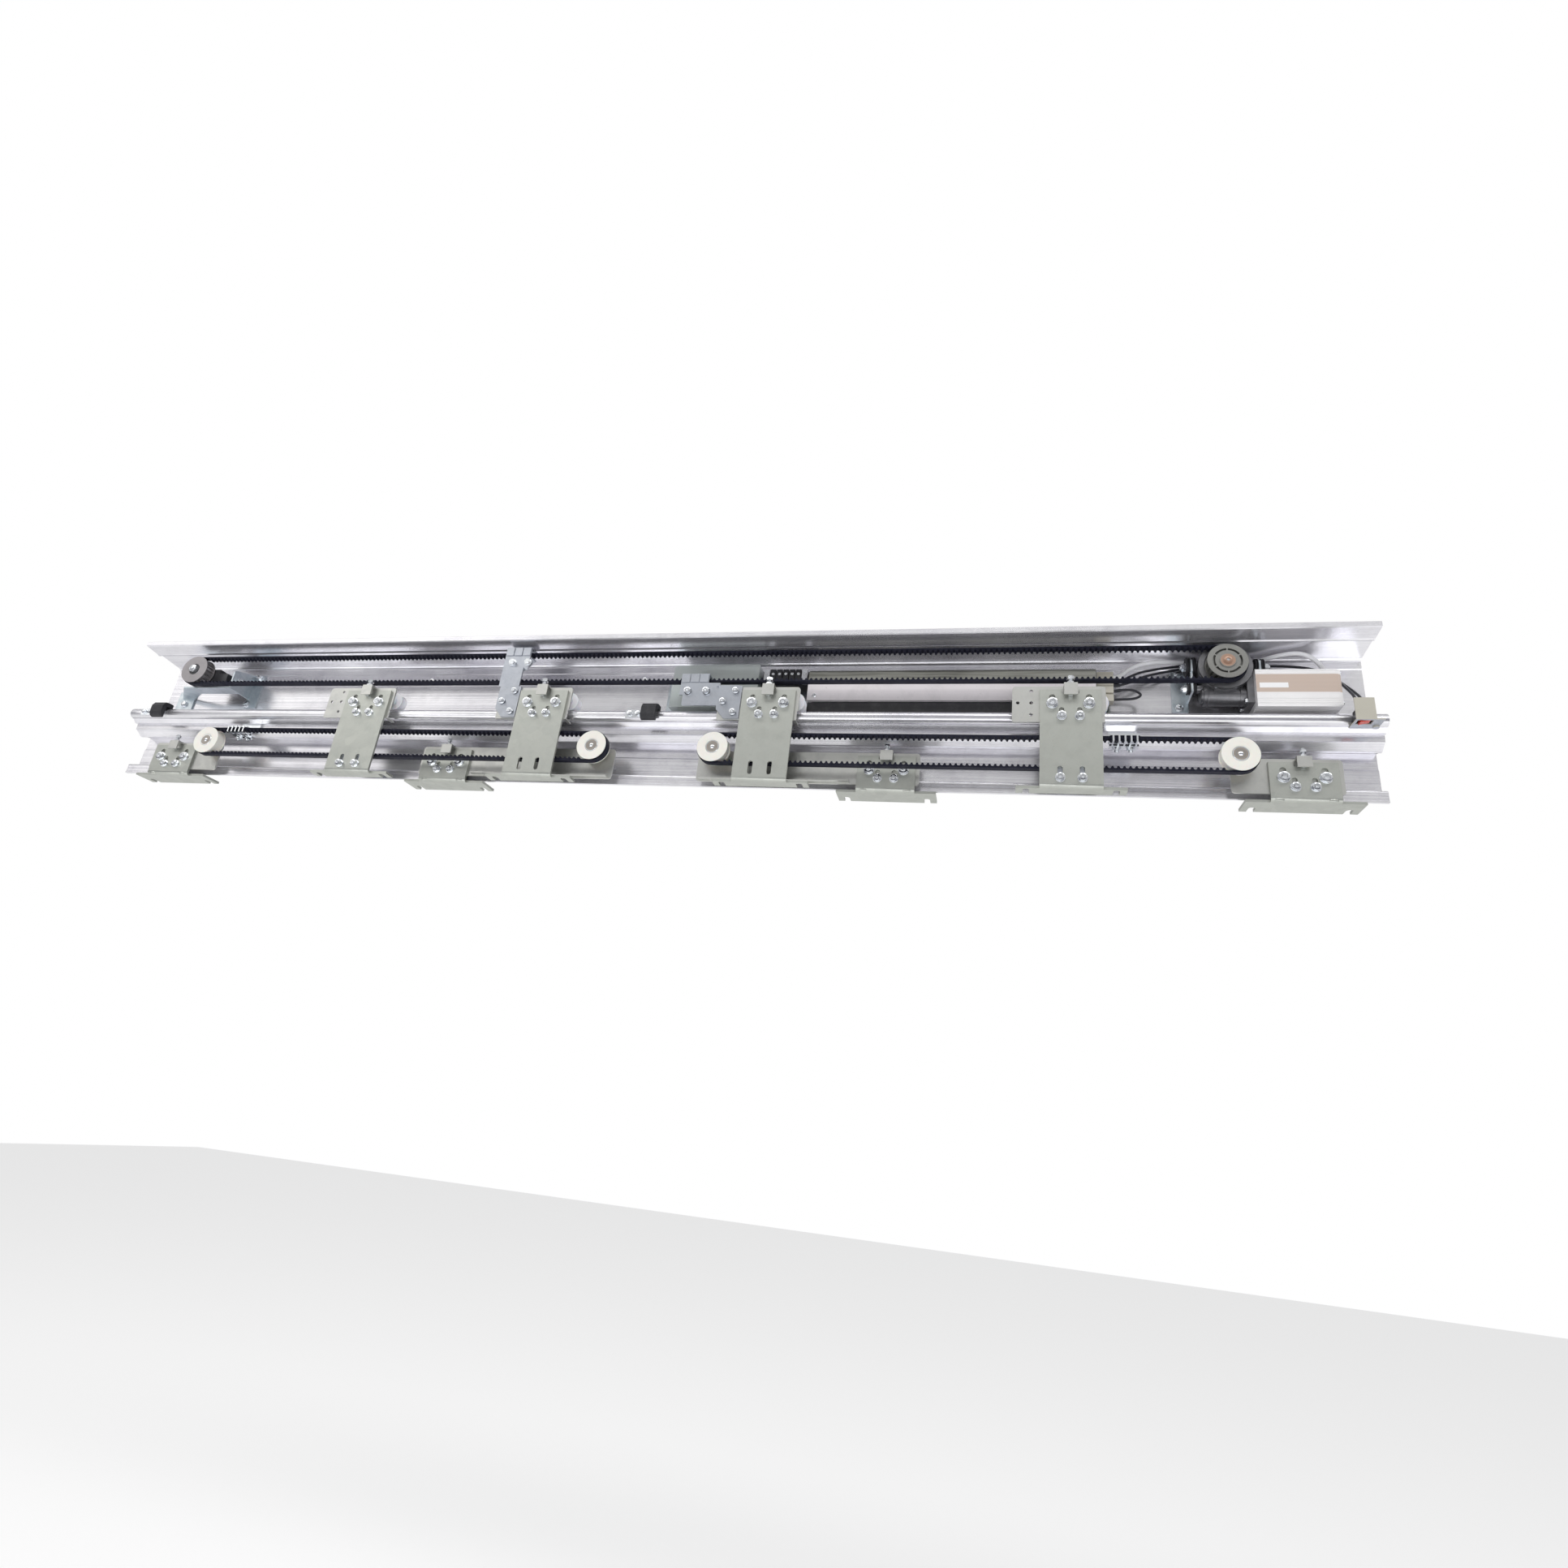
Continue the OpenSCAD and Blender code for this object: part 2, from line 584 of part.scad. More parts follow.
module stop_clips() {
  color("gainsboro") for (x = STOP_X) difference() {
    sheet(y_track - bead_r - 2, 2) round_rect(x - 42, bead_z - 7, x + 8, bead_z + 7, 1.5);
    for (dx = STOP_SCREWS) rod_y(x + dx, bead_z, y_track - bead_r - 3, 4, clip_screw_r + run_fit);
  }
}

module stop_bumpers() {
  y = y_track - bead_r - 2;
  color([0.08, 0.08, 0.09]) for (x = STOP_X)
    along_x(x - stop_w / 2, stop_w) polygon([
      [y, track_z - 22], [y - 6, track_z - 20], [y - 9, track_z - 13], [y - 9, track_z],
      [y - 5, track_z + 7], [y + 2, track_z + 9], [y_track + 1, track_z + 9],
      [y_track + 1, track_z + near], [y, track_z + near]]);
}

// ---- belts ---------------------------------------------------------------------------------

// Outline of one loop between two equal pulleys: plain over the pulleys, toothed on both runs
module belt_loop(xa, xb, z, r, groove_y) {
  r_in = r - pitch_off;
  r_out = r_in + belt_back;
  gap = 15;
  n = floor((xb - xa - 2 * gap) / pitch);
  first = (xb - xa - n * pitch) / 2 + pitch / 2;
  run = [for (i = [0:n - 1], k = [0:3])
    [first + i * pitch + [-2.6, -1.3, 1.3, 2.6][k], [0, tooth_h, tooth_h, 0][k]]];
  low = [for (p = run) [xa + p[0], p[1] - r_in]];
  high = [for (p = run) [xb - p[0], r_in - p[1]]];
  left = [for (a = [90:6:270]) [xa + r_in * cos(a), r_in * sin(a)]];
  right = [for (a = [-90:6:90]) [xb + r_in * cos(a), r_in * sin(a)]];
  translate([0, 0, z]) sheet(groove_y + (groove_w - belt_w) / 2, belt_w) difference() {
    union() {
      translate([xa, -r_out]) square([xb - xa, 2 * r_out]);
      for (x = [xa, xb]) translate([x, 0]) circle(r = r_out, $fn = 96);
    }
    polygon(concat(low, right, high, left));
  }
}

module upper_belt() color([0.1, 0.1, 0.16]) belt_loop(idler_x, drive_x, main_z, main_r, main_belt_y);
module lower_belt_left()
  color([0.1, 0.1, 0.16]) belt_loop(TELE_X[0], TELE_X[1], tele_z, tele_r, tele_belt_y);
module lower_belt_right()
  color([0.1, 0.1, 0.16]) belt_loop(TELE_X[2], TELE_X[3], tele_z, tele_r, tele_belt_y);

// White telescope pulley with a ball bearing at its hub
module tele_pulley(i) {
  y = tele_belt_y - 0.3;
  color("ivory") difference() {
    union() {
      rod_y(TELE_X[i], tele_z, y, groove_w + 0.6, tele_r - pitch_off - near - 0.2);
      rod_y(TELE_X[i], tele_z, y - disc_t, disc_t, tele_disc_r);
      rod_y(TELE_X[i], tele_z, y + groove_w + 0.6, disc_t, tele_disc_r);
    }
    rod_y(TELE_X[i], tele_z, y - disc_t - 1, groove_w + 2 * disc_t + 3, 11);
  }
  color("silver") difference() {
    rod_y(TELE_X[i], tele_z, y - disc_t + 1, groove_w + 2 * disc_t - 1.4, 11);
    rod_y(TELE_X[i], tele_z, y - disc_t, groove_w + 2 * disc_t + 1, axle_r + run_fit);
  }
}

// Anchor of a telescope belt's upper run on the beam: an angle riveted to the lip, and a comb
// with five fingers under the teeth that two upright bolts pull up to it
ANCHOR_X = [-792, 716];
ANCHOR_BOLTS = [-9.5, 9.5];
anchor_l = 40;
anchor_bolt_r = 3;
rivet_r = 2;
module belt_anchors() {
  top = tele_z + tele_r + belt_back;
  under = tele_z + tele_r - pitch_off - tooth_h - near;
  front = tele_belt_y - 1.6;
  behind = tele_belt_y + groove_w + 1;
  bolt_y = behind + 6;
  back = y_track + 12.5;
  color("gainsboro") for (x = ANCHOR_X) {
    difference() {
      union() {
        translate([x - anchor_l / 2, tele_belt_y + 1, top]) cube([anchor_l, back - tele_belt_y - 1, 2]);
        translate([x - anchor_l / 2, back - 3, top]) cube([anchor_l, 3, seam_z - top]);
      }
      for (dx = ANCHOR_BOLTS) {
        rod_z(x + dx, bolt_y, top - 1, 4, anchor_bolt_r + run_fit);
        rod_y(x + dx, seam_z - 5, back - 4, 5, rivet_r + run_fit);
      }
    }
    difference() {
      union() {
        translate([x - anchor_l / 2, behind, under - 3]) cube([anchor_l, 11, 3]);
        for (i = [-2:2]) translate([x + i * pitch - 1.2, front, under - 3]) {
          cube([2.4, 20, 3]);
          cube([2.4, 1.4, top - under + 4]);
        }
      }
      for (dx = ANCHOR_BOLTS) rod_z(x + dx, bolt_y, under - 4, 5, anchor_bolt_r + run_fit);
    }
    for (dx = ANCHOR_BOLTS) {
      rod_z(x + dx, bolt_y, under - 11, top + 2 - under + 11, anchor_bolt_r);
      hex_z(x + dx, bolt_y, top + 2, 4, 10);
      hex_z(x + dx, bolt_y, under - 8, 5, 10);
      rod_y(x + dx, seam_z - 5, back - 3, 6.5, rivet_r);
    }
  }
}

// ---- controls ------------------------------------------------------------------------------

SUPPLY = [[supply_x, -45, 14], [supply_x + supply_l, -wall_t, 92]];
module power_supply_cover() {
  a = SUPPLY[0];
  b = SUPPLY[1];
  color([0.75, 0.82, 0.8, 0.5]) difference() {
    translate(a) cube(b - a);
    translate([a[0] + 2, a[1] + 2, a[2] + 2]) cube([b[0] - a[0] - 4, b[1] - a[1] - 1, b[2] - a[2] - 4]);
  }
  color("gainsboro") sheet(-wall_t - 2, 2) round_rect(a[0] - 20, a[2] + 6, a[0] - 0.1, b[2] - 8, 2);
}

module circuit_boards() {
  a = SUPPLY[0];
  b = SUPPLY[1];
  // Power supply board on stand-offs, with its finned heat sink and parts
  color([0.25, 0.5, 0.3]) translate([a[0] + 5, -14, a[2] + 4]) cube([supply_l - 10, 1.6, b[2] - a[2] - 8]);
  color([0.2, 0.2, 0.2]) {
    for (x = [a[0] + 10, b[0] - 14], z = [a[2] + 9, b[2] - 12]) rod_y(x + 2, z, -12.4, 7.9, 3);
    translate([a[0] + 48, -39, b[2] - 26]) cube([90, 4, 20]);
    for (i = [0:11]) translate([a[0] + 49 + i * 7.6, -35, b[2] - 26]) cube([3, 21, 20]);
    for (i = [0:2]) rod_y(a[0] + 18 + 11 * i, a[2] + 22, -34, 20, 4.5);
    translate([a[0] + 60, -30, a[2] + 10]) cube([26, 16, 22]);
  }
  // Terminal rail between the supply and the controller
  color([0.12, 0.12, 0.13]) {
    translate([b[0] + 3, -30, 62]) cube([control_x - b[0] - 6, 30 - wall_t, 24]);
    translate([b[0] + 8, -36, 66]) cube([20, 6, 16]);
    translate([b[0] + 52, -36, 66]) cube([22, 6, 16]);
  }
  // Controller board with its plug connectors at the right end
  color([0.2, 0.42, 0.28]) translate([control_x + 6, -20, 34]) cube([control_l + 10, 1.6, 40]);
  color([0.2, 0.2, 0.2]) for (x = [control_x + 20, control_x + control_l / 2, control_x + control_l - 20])
    rod_y(x, 54, -18.4, 10.4, 3);
  color([0.85, 0.82, 0.72]) for (z = [32, 46, 58, 70])
    translate([control_x + control_l + 2, -34, z]) cube([24, 14, z == 58 ? 10 : 11]);
}

module controller_tray() {
  color([0.14, 0.14, 0.15]) difference() {
    translate([control_x, -40, 9]) cube([control_l, 40 - wall_t, 70]);
    translate([control_x - 1, -44, 26]) cube([control_l + 2, 36, 51]);
  }
}

module controller_cover() {
  color([0.78, 0.76, 0.72]) along_x(control_x, control_l) polygon([
    [-40.1, 26.2], [-47, 26.2], [-47, 76], [-43, 81], [-wall_t, 81], [-wall_t, 79.2], [-42, 79.2],
    [-45.2, 75.5], [-45.2, 28], [-40.1, 28]]);
}

// Route of the white motor cable and of the black wires, as points from end to end
CABLE = [[708, -27, 76], [713, -27, 76], [721, -31, 78], [731, -35, 84], [745, -36, 91],
  [765, -33, 97], [785, -25, 102], [802, -17, 105], [817, -13, 106], [832, -9.5, 106.5],
  [870, -9.5, 107], [898, -10, 107], [915, -15, 108], [935, -26, 109.5], [955, -33, 110],
  [970, -35, 107.5], [982, -35, 100], [990, -35, 90], [996, -35, 76], [996, -35, 67.6]];
WIRE_A = [[708, -27, 66], [713, -27, 66], [721, -28, 69], [733, -28, 76], [750, -27, 84],
  [775, -22, 92], [797, -17, 98], [813, -15, 101], [831, -9.8, 101], [880, -9.6, 101],
  [905, -11, 101], [930, -14, 100], [955, -16, 98], [978, -18, 94], [996, -21, 86],
  [1007, -28, 74], [1012, -42, 55], [1014, -60, 34], [1014, -72, 20], [1014, -77, 8], [1014, -77, -5]];
WIRE_B = [[708, -27, 61], [713, -27, 61], [722, -28, 62.5], [737, -28, 68], [754, -26, 77],
  [778, -21, 86], [798, -16.5, 92.5], [812, -15, 95], [827, -9.8, 96], [880, -9.6, 96],
  [905, -10, 96], [930, -11, 95.5], [955, -12, 94], [980, -14, 90], [1001, -18, 81],
  [1014, -27, 67], [1020, -42, 49], [1022, -60, 30], [1022, -72, 17], [1022, -77, 6],
  [1022, -77, -5]];
JUMPER = [[708, -27, 52], [713, -27, 52], [724, -29, 53], [738, -30, 51], [746, -30, 45],
  [743, -30, 40], [733, -29, 37.5], [720, -28, 37.5], [713, -27, 37.5], [708, -27, 37.5]];

function unit(v) = v / norm(v);
function side_of(t) = unit(cross(t, abs(t[1]) < 0.8 ? [0, 1, 0] : [1, 0, 0]));
function tangent(p, i) = unit(p[min(i + 1, len(p) - 1)] - p[max(i - 1, 0)]);
// Points between the route's own ones, on a smooth curve through them
function catmull(a, b, c, d, t) = 0.5 * (2 * b + (c - a) * t + (2 * a - 5 * b + 4 * c - d) * t * t
  + (3 * b - a - 3 * c + d) * t * t * t);
function smooth(p, n) = concat([for (i = [0:len(p) - 2], k = [0:n - 1])
  catmull(p[max(i - 1, 0)], p[i], p[i + 1], p[min(i + 2, len(p) - 1)], k / n)], [p[len(p) - 1]]);

module cord(route, r, sides, n) {
  p = smooth(route, n);
  m = len(p);
  rings = [for (i = [0:m - 1], k = [0:sides - 1])
    let (t = tangent(p, i), s = side_of(t), u = cross(t, s), a = 360 * k / sides)
    p[i] + r * (cos(a) * s + sin(a) * u)];
  walls = [for (i = [0:m - 2], k = [0:sides - 1])
    let (k2 = (k + 1) % sides)
    [i * sides + k, i * sides + k2, (i + 1) * sides + k2, (i + 1) * sides + k]];
  ends = [[for (k = [sides - 1:-1:0]) k], [for (k = [0:sides - 1]) (m - 1) * sides + k]];
  polyhedron(rings, concat(walls, ends));
}

module wiring() {
  color("white") cord(CABLE, 3.2, 10, 1);
  color([0.1, 0.1, 0.15]) {
    cord(WIRE_A, 1.9, 8, 1);
    cord(WIRE_B, 1.9, 8, 1);
    cord(JUMPER, 1.9, 8, 1);
  }
}

// ---- switch --------------------------------------------------------------------------------

switch_z = track_z - 2 * bead_r - 0.1;
switch_w = 25;
switch_screw_dx = 31;
switch_screw_y = y_track - 5;
SWITCH_Y = [y_fast + 0.5, y_track - bead_r - 1.2];
module switch_cover() {
  t = 1.5;
  color([0.72, 0.7, 0.62]) difference() {
    union() {
      sheet(y_fast - 1.5, t) translate([switch_x, switch_z - t]) square([switch_w, 33]);
      translate([switch_x, y_fast - 1.5, switch_z - t]) cube([switch_w + 10, y_track - y_fast + 2.5, t]);
    }
    translate([switch_x + 3, SWITCH_Y[0] + 1.4, switch_z - t - 1])
      cube([switch_w - 6, SWITCH_Y[1] - SWITCH_Y[0] - 2.8, t + 2]);
    rod_z(switch_x + switch_screw_dx, switch_screw_y, switch_z - t - 1, 4, 2 + run_fit);
  }
  color("gainsboro") {
    rod_z(switch_x + switch_screw_dx, switch_screw_y, switch_z - t - 1.8, 1.8, 4);
    rod_z(switch_x + switch_screw_dx, switch_screw_y, switch_z - t - 0.5, t + 7, 2);
  }
}

module switch_body() {
  y0 = SWITCH_Y[0];
  depth = SWITCH_Y[1] - y0;
  color([0.08, 0.08, 0.08]) difference() {
    translate([switch_x + 2, y0, switch_z]) cube([switch_w - 4, depth, 16]);
    translate([switch_x + 3.5, y0 + 1.8, switch_z - 1]) cube([switch_w - 7, depth - 3.6, 11]);
  }
}

module switch_rocker() {
  len = SWITCH_Y[1] - SWITCH_Y[0] - 4.4;
  color([0.75, 0.2, 0.15]) translate([switch_x + switch_w / 2, SWITCH_Y[0] + 2.2 + len, switch_z + 4])
    rotate([90, 0, 0]) linear_extrude(len) polygon([[-6, 1], [6, 1], [7, -4.5], [0, -6], [-6.5, -7.5]]);
}

// ---- fast carriages ------------------------------------------------------------------------

// Bent hanger: upright plate with its top notch and slots, foot flange, wings with open slots
module hanger(x, y, w, h, depth, big, small, foot_slots) {
  bend = 6;
  difference() {
    union() {
      along_x(x - w / 2, w) difference() {
        union() {
          translate([y, foot_z + bend]) square([plate_t, h - bend]);
          translate([y + bend, foot_z]) square([depth - bend, plate_t]);
          intersection() {
            translate([y + bend, foot_z + bend]) circle(r = bend, $fn = 48);
            translate([y, foot_z]) square(bend);
          }
        }
        translate([y + bend, foot_z + bend]) circle(r = bend - plate_t, $fn = 48);
      }
      translate([x - foot_w / 2, y + bend, foot_z]) cube([foot_w, depth - bend, plate_t]);
    }
    sheet(y - 1, plate_t + 2) {
      translate([x - 12, foot_z + h - 6]) square([24, 7]);
      for (s = [-1, 1]) {
        slot(x + s * big[0], big[1] - 7, big[1] + 15, 8.4);
        slot(x + s * small[0], small[1] - 7, small[1] + 14, 7);
        if (foot_slots) slot(x + s * FOOT_BOLT[0], FOOT_BOLT[1] - 4, FOOT_BOLT[1] + 18, 7);
      }
    }
    // Open slots for the door's hanging bolts
    for (s = [-1, 1]) {
      translate([x + s * (foot_w / 2 - 14) - 4.5, y + depth - 12, foot_z - 1]) cube([9, 13, plate_t + 2]);
      rod_z(x + s * (foot_w / 2 - 14), y + depth - 12, foot_z - 1, plate_t + 2, 4.5);
    }
  }
}

// Plate behind a fast hanger that carries its rollers, with the adjuster's bent tab on top
module roller_plate(x) {
  y = y_fast_back;
  top = fast_top + 7;
  low = seam_z;
  difference() {
    union() {
      sheet(y, back_t) {
        round_rect(x - 82, low + 15, x + 49, top, 5);
        round_rect(x - 82, low, x + 30, top - 10, 3);
        translate([x + 42, low]) square([5, 20]);
      }
      // Hook under the track that keeps the carriage from lifting
      translate([x + 42, y, low]) cube([5, y_track - y - 2, 2.5]);
      // Adjuster tab
      translate([x - 9.5, y_fast - 9, top - 3]) cube([19, plate_t + 9 + back_t, 3]);
      translate([x - 9.5, y_fast - 9, top - 19]) cube([19, 2.2, 17]);
    }
    for (s = [-1, 1]) {
      rod_y(x + s * BIG[0], BIG[1], y - 1, back_t + 2, bolt_r + run_fit);
      rod_y(x + s * SMALL[0], SMALL[1], y - 1, back_t + 2, 3 + run_fit);
      rod_y(x + s * roller_x, fast_roller_z, y - 1, back_t + 2, axle_r + run_fit);
    }
    for (p = LINK_HOLES) rod_y(x + p[0], p[1], y - 1, back_t + 2, 2.5 + run_fit);
    rod_z(x, y_fast - jack_dy, top - 4, 5, 3 + run_fit);
  }
}
LINK_HOLES = [[-55, 23], [-74, 4], [-55, -15], [-55, 4]];
jack_dy = 3.5;
// How far the head of a height adjuster stands above its lock nut's seat
jack_rise = 7;

module fast_fasteners(xs, belt_clamped) {
  for (i = [0, 1]) {
    x = xs[i];
    for (s = [-1, 1]) {
      front_nut(x + s * BIG[0], BIG[1], y_fast, y_fast_back + back_t, bolt_r, 13, 8.5);
      front_nut(x + s * SMALL[0], SMALL[1], y_fast, y_fast_back + back_t, 3, 10, 7);
      // Roller axle with its rear collar
      rod_y(x + s * roller_x, fast_roller_z, y_fast_back, y_track + roller_w / 2 + 1.5 - y_fast_back, axle_r);
      rod_y(x + s * roller_x, fast_roller_z, y_track + roller_w / 2 + near, 1.2, axle_r + 2);
      difference() {
        rod_y(x + s * roller_x, fast_roller_z, y_fast_back + back_t,
          y_track - roller_w / 2 - near - y_fast_back - back_t, 7);
        rod_y(x + s * roller_x, fast_roller_z, y_fast_back, 30, axle_r);
      }
      if (i == belt_clamped)
        front_nut(x + s * FOOT_BOLT[0], FOOT_BOLT[1], y_fast, y_fast_back + foot_jaw_t, 3, 10, 7);
    }
    // Height adjuster: its bolt, the lock nut on the tab and the bolt's head
    rod_z(x, y_fast - jack_dy, fast_top - 12, 25 + jack_rise, 3);
    hex_z(x, y_fast - jack_dy, fast_top + 7, 3, 10);
    hex_z(x, y_fast - jack_dy, fast_top + 7 + jack_rise, 5, 10);
    if (i != belt_clamped) for (k = [0:2])
      front_nut(x + LINK_HOLES[k][0], LINK_HOLES[k][1], y_fast_back - back_t, y_fast_back + back_t,
        2.5, 8, 5.5, 4);
  }
  // Bolts of the jaw on the main belt
  if (belt_clamped == 0) for (x = B_BOLTS) front_nut(x, main_up - 21, jaw_y, jaw_y + 2, 3, 10, 6.5, 4);
  if (belt_clamped == 1) for (x = C_BOLTS) front_nut(x, 24, y_fast_back, jaw_y + 2, 3, 10, 6.5, 4);
}

// Link plate on the roller plate's left part, up to plate_top
module link_plate(x, plate_top) {
  y = y_fast_back - back_t;
  difference() {
    sheet(y, back_t) {
      polygon([[x - 84, 32], [x - 84, -9], [x - 70, seam_z + 2], [x - 45, seam_z + 2], [x - 45, 32]]);
      translate([x - 88, 32]) square([38, plate_top - 32]);
    }
    for (k = [0:2]) rod_y(x + LINK_HOLES[k][0], LINK_HOLES[k][1], y - 1, back_t + 2, 2.5 + run_fit);
  }
}

// Ribbed jaw round the belt at height run_z; its front plate reaches down by skirt
jaw_w = 47;
module ribbed_jaw(x0, run_z, y_front, skirt, holes, hole_z) {
  reach = belt_back + tooth_h + 0.2;
  y1 = main_belt_y + groove_w + 1.2;
  difference() {
    union() {
      translate([x0, y_front, run_z + reach]) cube([jaw_w, y1 - y_front, 3]);
      translate([x0, y_front, run_z - reach - 3]) cube([jaw_w, y1 - y_front, 3]);
      translate([x0, y_front, run_z - reach - 3 - skirt]) cube([jaw_w, 2, 2 * reach + 6 + skirt]);
      for (i = [0:2]) translate([x0 + i * jaw_w / 3 + 1, y_front - 1.5, run_z - reach - 1])
        cube([jaw_w / 3 - 2, 2, 2 * reach + 3]);
    }
    for (x = holes) rod_y(x, hole_z, y_front - 1, 4, 3 + run_fit);
  }
}

B_BOLTS = [FAST_X[1] - 75, FAST_X[1] - 46];
C_BOLTS = [FAST_X[2] - 136, FAST_X[2] - 105];
main_up = main_z + main_r;
main_down = main_z - main_r;
b_top = main_up - 33;
jaw_y = y_fast_back + 2.5;

module fast_left_clamps() {
  // Carriage b grips the upper run; carriage a's foot grips the telescope belt's lower run
  b = FAST_X[1];
  y = y_fast_back - back_t;
  color("gainsboro") {
    link_plate(b, b_top);
    translate([b - 88, y, b_top - 3]) cube([38, jaw_y + 2 - y, 3]);
    ribbed_jaw(b - 92, main_up, jaw_y, 26, B_BOLTS, main_up - 21);
    foot_clamp(FAST_X[0]);
  }
}

module fast_right_clamps() {
  // Carriage c grips the lower run; carriage d's foot grips the telescope belt's lower run
  c = FAST_X[2];
  color("gainsboro") {
    link_plate(c, 33);
    difference() {
      sheet(y_fast_back, 2.5) round_rect(c - 144, -1, c - 83, main_down - 9, 2);
      for (x = C_BOLTS) rod_y(x, 24, y_fast_back - 1, 5, 3 + run_fit);
      for (k = [0:2]) rod_y(c + LINK_HOLES[k][0], LINK_HOLES[k][1], y_fast_back - 1, 5, 4);
    }
    ribbed_jaw(c - 151, main_down, jaw_y, 20, C_BOLTS, 24);
    foot_clamp(FAST_X[3]);
  }
}

// Jaws behind a fast hanger's foot that grip the telescope belt's lower run
foot_jaw_t = 1.9;
module foot_clamp(x) {
  run = tele_z - tele_r;
  y1 = tele_belt_y + groove_w + 0.9;
  low = run - belt_back - 0.6;
  high = run + tooth_h + pitch_off + 0.6;
  difference() {
    union() {
      translate([x - 24, y_fast_back, foot_z + 8]) cube([48, foot_jaw_t, high + 3 - foot_z - 8]);
      translate([x - 20, y_fast_back, low - 3]) cube([40, y1 + 2 - y_fast_back, 3]);
      translate([x - 20, y_fast_back, high]) cube([40, y1 + 2 - y_fast_back, 3]);
      translate([x - 20, y1, low - 3]) cube([40, 2, high - low + 6]);
    }
    for (s = [-1, 1]) {
      rod_y(x + s * FOOT_BOLT[0], FOOT_BOLT[1], y_fast_back - 1, 5, 3 + run_fit);
      rod_y(x + s * FOOT_BOLT[0], FOOT_BOLT[1], y_fast_back + foot_jaw_t, 3, 6.5);
    }
  }
}

// Grooved nylon roller with a bore for its axle; the groove follows a bead of the given radius
module roller(x, z, y, bead, w) {
  r0 = roller_r - 3;
  color("white") translate([x, y, z]) rotate([-90, 0, 0]) difference() {
    translate([0, 0, -w / 2]) cylinder(r = roller_r, h = w, $fn = 96);
    rotate_extrude($fn = 96) translate([r0 + bead + near, 0]) circle(r = bead + near, $fn = 64);
    translate([0, 0, -w]) cylinder(r = axle_r + run_fit, h = 2 * w, $fn = 48);
  }
}

module fast_roller(i) {
  x = FAST_X[floor(i / 2)] + (i % 2 == 0 ? -1 : 1) * roller_x;
  roller(x, fast_roller_z, y_track, bead_r, roller_w);
}

module slow_roller(i) roller(SLOW_X[i], slow_roller_z, y_rail, rail_t / 2 + 0.6, roller_w - 2);

// ---- slow carriages ------------------------------------------------------------------------

// Plate behind a slow hanger: carries the roller's axle and reaches out to the belt pulley
module pulley_plate(x, reach) {
  y = y_slow_back;
  x0 = min(x - slow_w / 2 - 6, reach);
  x1 = max(x + slow_w / 2 + 6, reach);
  top = slow_top + 6;
  low = beam_bottom + 3;
  difference() {
    union() {
      sheet(y, back_t) round_rect(x0, low, x1, top, 5);
      // Bottom stiffening lip
      if (abs(reach - x) > 150) translate([reach < x ? x0 + 5 : x + slow_w / 2 + 10, y - 9, low + 2])
        cube([abs(reach - x) - slow_w / 2 - 16, 10, 2.5]);
      // Adjuster tab
      translate([x - 9.5, y_slow - 8.5, top - 3]) cube([19, plate_t + 8.5 + back_t, 3]);
      translate([x - 9.5, y_slow - 8.5, top - 16]) cube([19, 2.2, 14]);
    }
    for (s = [-1, 1]) {
      rod_y(x + s * SLOW_BIG[0], SLOW_BIG[1], y - 1, back_t + 2, bolt_r + run_fit);
      rod_y(x + s * SLOW_SMALL[0], SLOW_SMALL[1], y - 1, back_t + 2, 3 + run_fit);
    }
    rod_y(x, slow_roller_z, y - 1, back_t + 2, axle_r + run_fit);
    rod_y(tele_of(x), tele_z, y - 1, back_t + 2, axle_r + run_fit);
    rod_z(x, y_slow - jack_dy, top - 4, 5, 2.5 + run_fit);
  }
}

// The telescope pulley that belongs to the slow carriage at x, and how far its plate reaches
function tele_of(x) = TELE_X[search(x, SLOW_X)[0]];
function reach_of(x) = tele_of(x) + (tele_of(x) < x ? -1 : 1) * (abs(tele_of(x)) > 500 ? 8 : 30);

module slow_fasteners(xs) {
  for (x = xs) {
    for (s = [-1, 1]) {
      front_nut(x + s * SLOW_BIG[0], SLOW_BIG[1], y_slow, y_slow_back + back_t, bolt_r, 13, 8.5, 4);
      front_nut(x + s * SLOW_SMALL[0], SLOW_SMALL[1], y_slow, y_slow_back + back_t, 3, 10, 7, 4);
    }
    rod_y(x, slow_roller_z, y_slow_back, y_rail + roller_w / 2 + 1 - y_slow_back, axle_r);
    difference() {
      rod_y(x, slow_roller_z, y_slow_back + back_t,
        y_rail - roller_w / 2 + 1 - near - y_slow_back - back_t, 7);
      rod_y(x, slow_roller_z, y_slow_back, 30, axle_r);
    }
    // Height adjuster
    rod_z(x, y_slow - jack_dy, slow_top - 9, 21 + jack_rise, 2.5);
    hex_z(x, y_slow - jack_dy, slow_top + 6, 3, 8);
    hex_z(x, y_slow - jack_dy, slow_top + 6 + jack_rise, 4, 8);
    // Telescope pulley's axle bolt and spacer
    px = tele_of(x);
    y = tele_belt_y - 0.3 - disc_t;
    rod_y(px, tele_z, y - 0.6, y_slow_back + back_t + 4 - y + 0.6, axle_r);
    hex_y(px, tele_z, y - 1.4, 2.2, 12);
    hex_y(px, tele_z, y_slow_back + back_t, 4, 13);
    difference() {
      rod_y(px, tele_z, tele_belt_y + groove_w + 0.3 + disc_t + near,
        y_slow_back - tele_belt_y - groove_w - 0.3 - disc_t - near, 8);
      rod_y(px, tele_z, tele_belt_y, 40, axle_r);
    }
  }
}

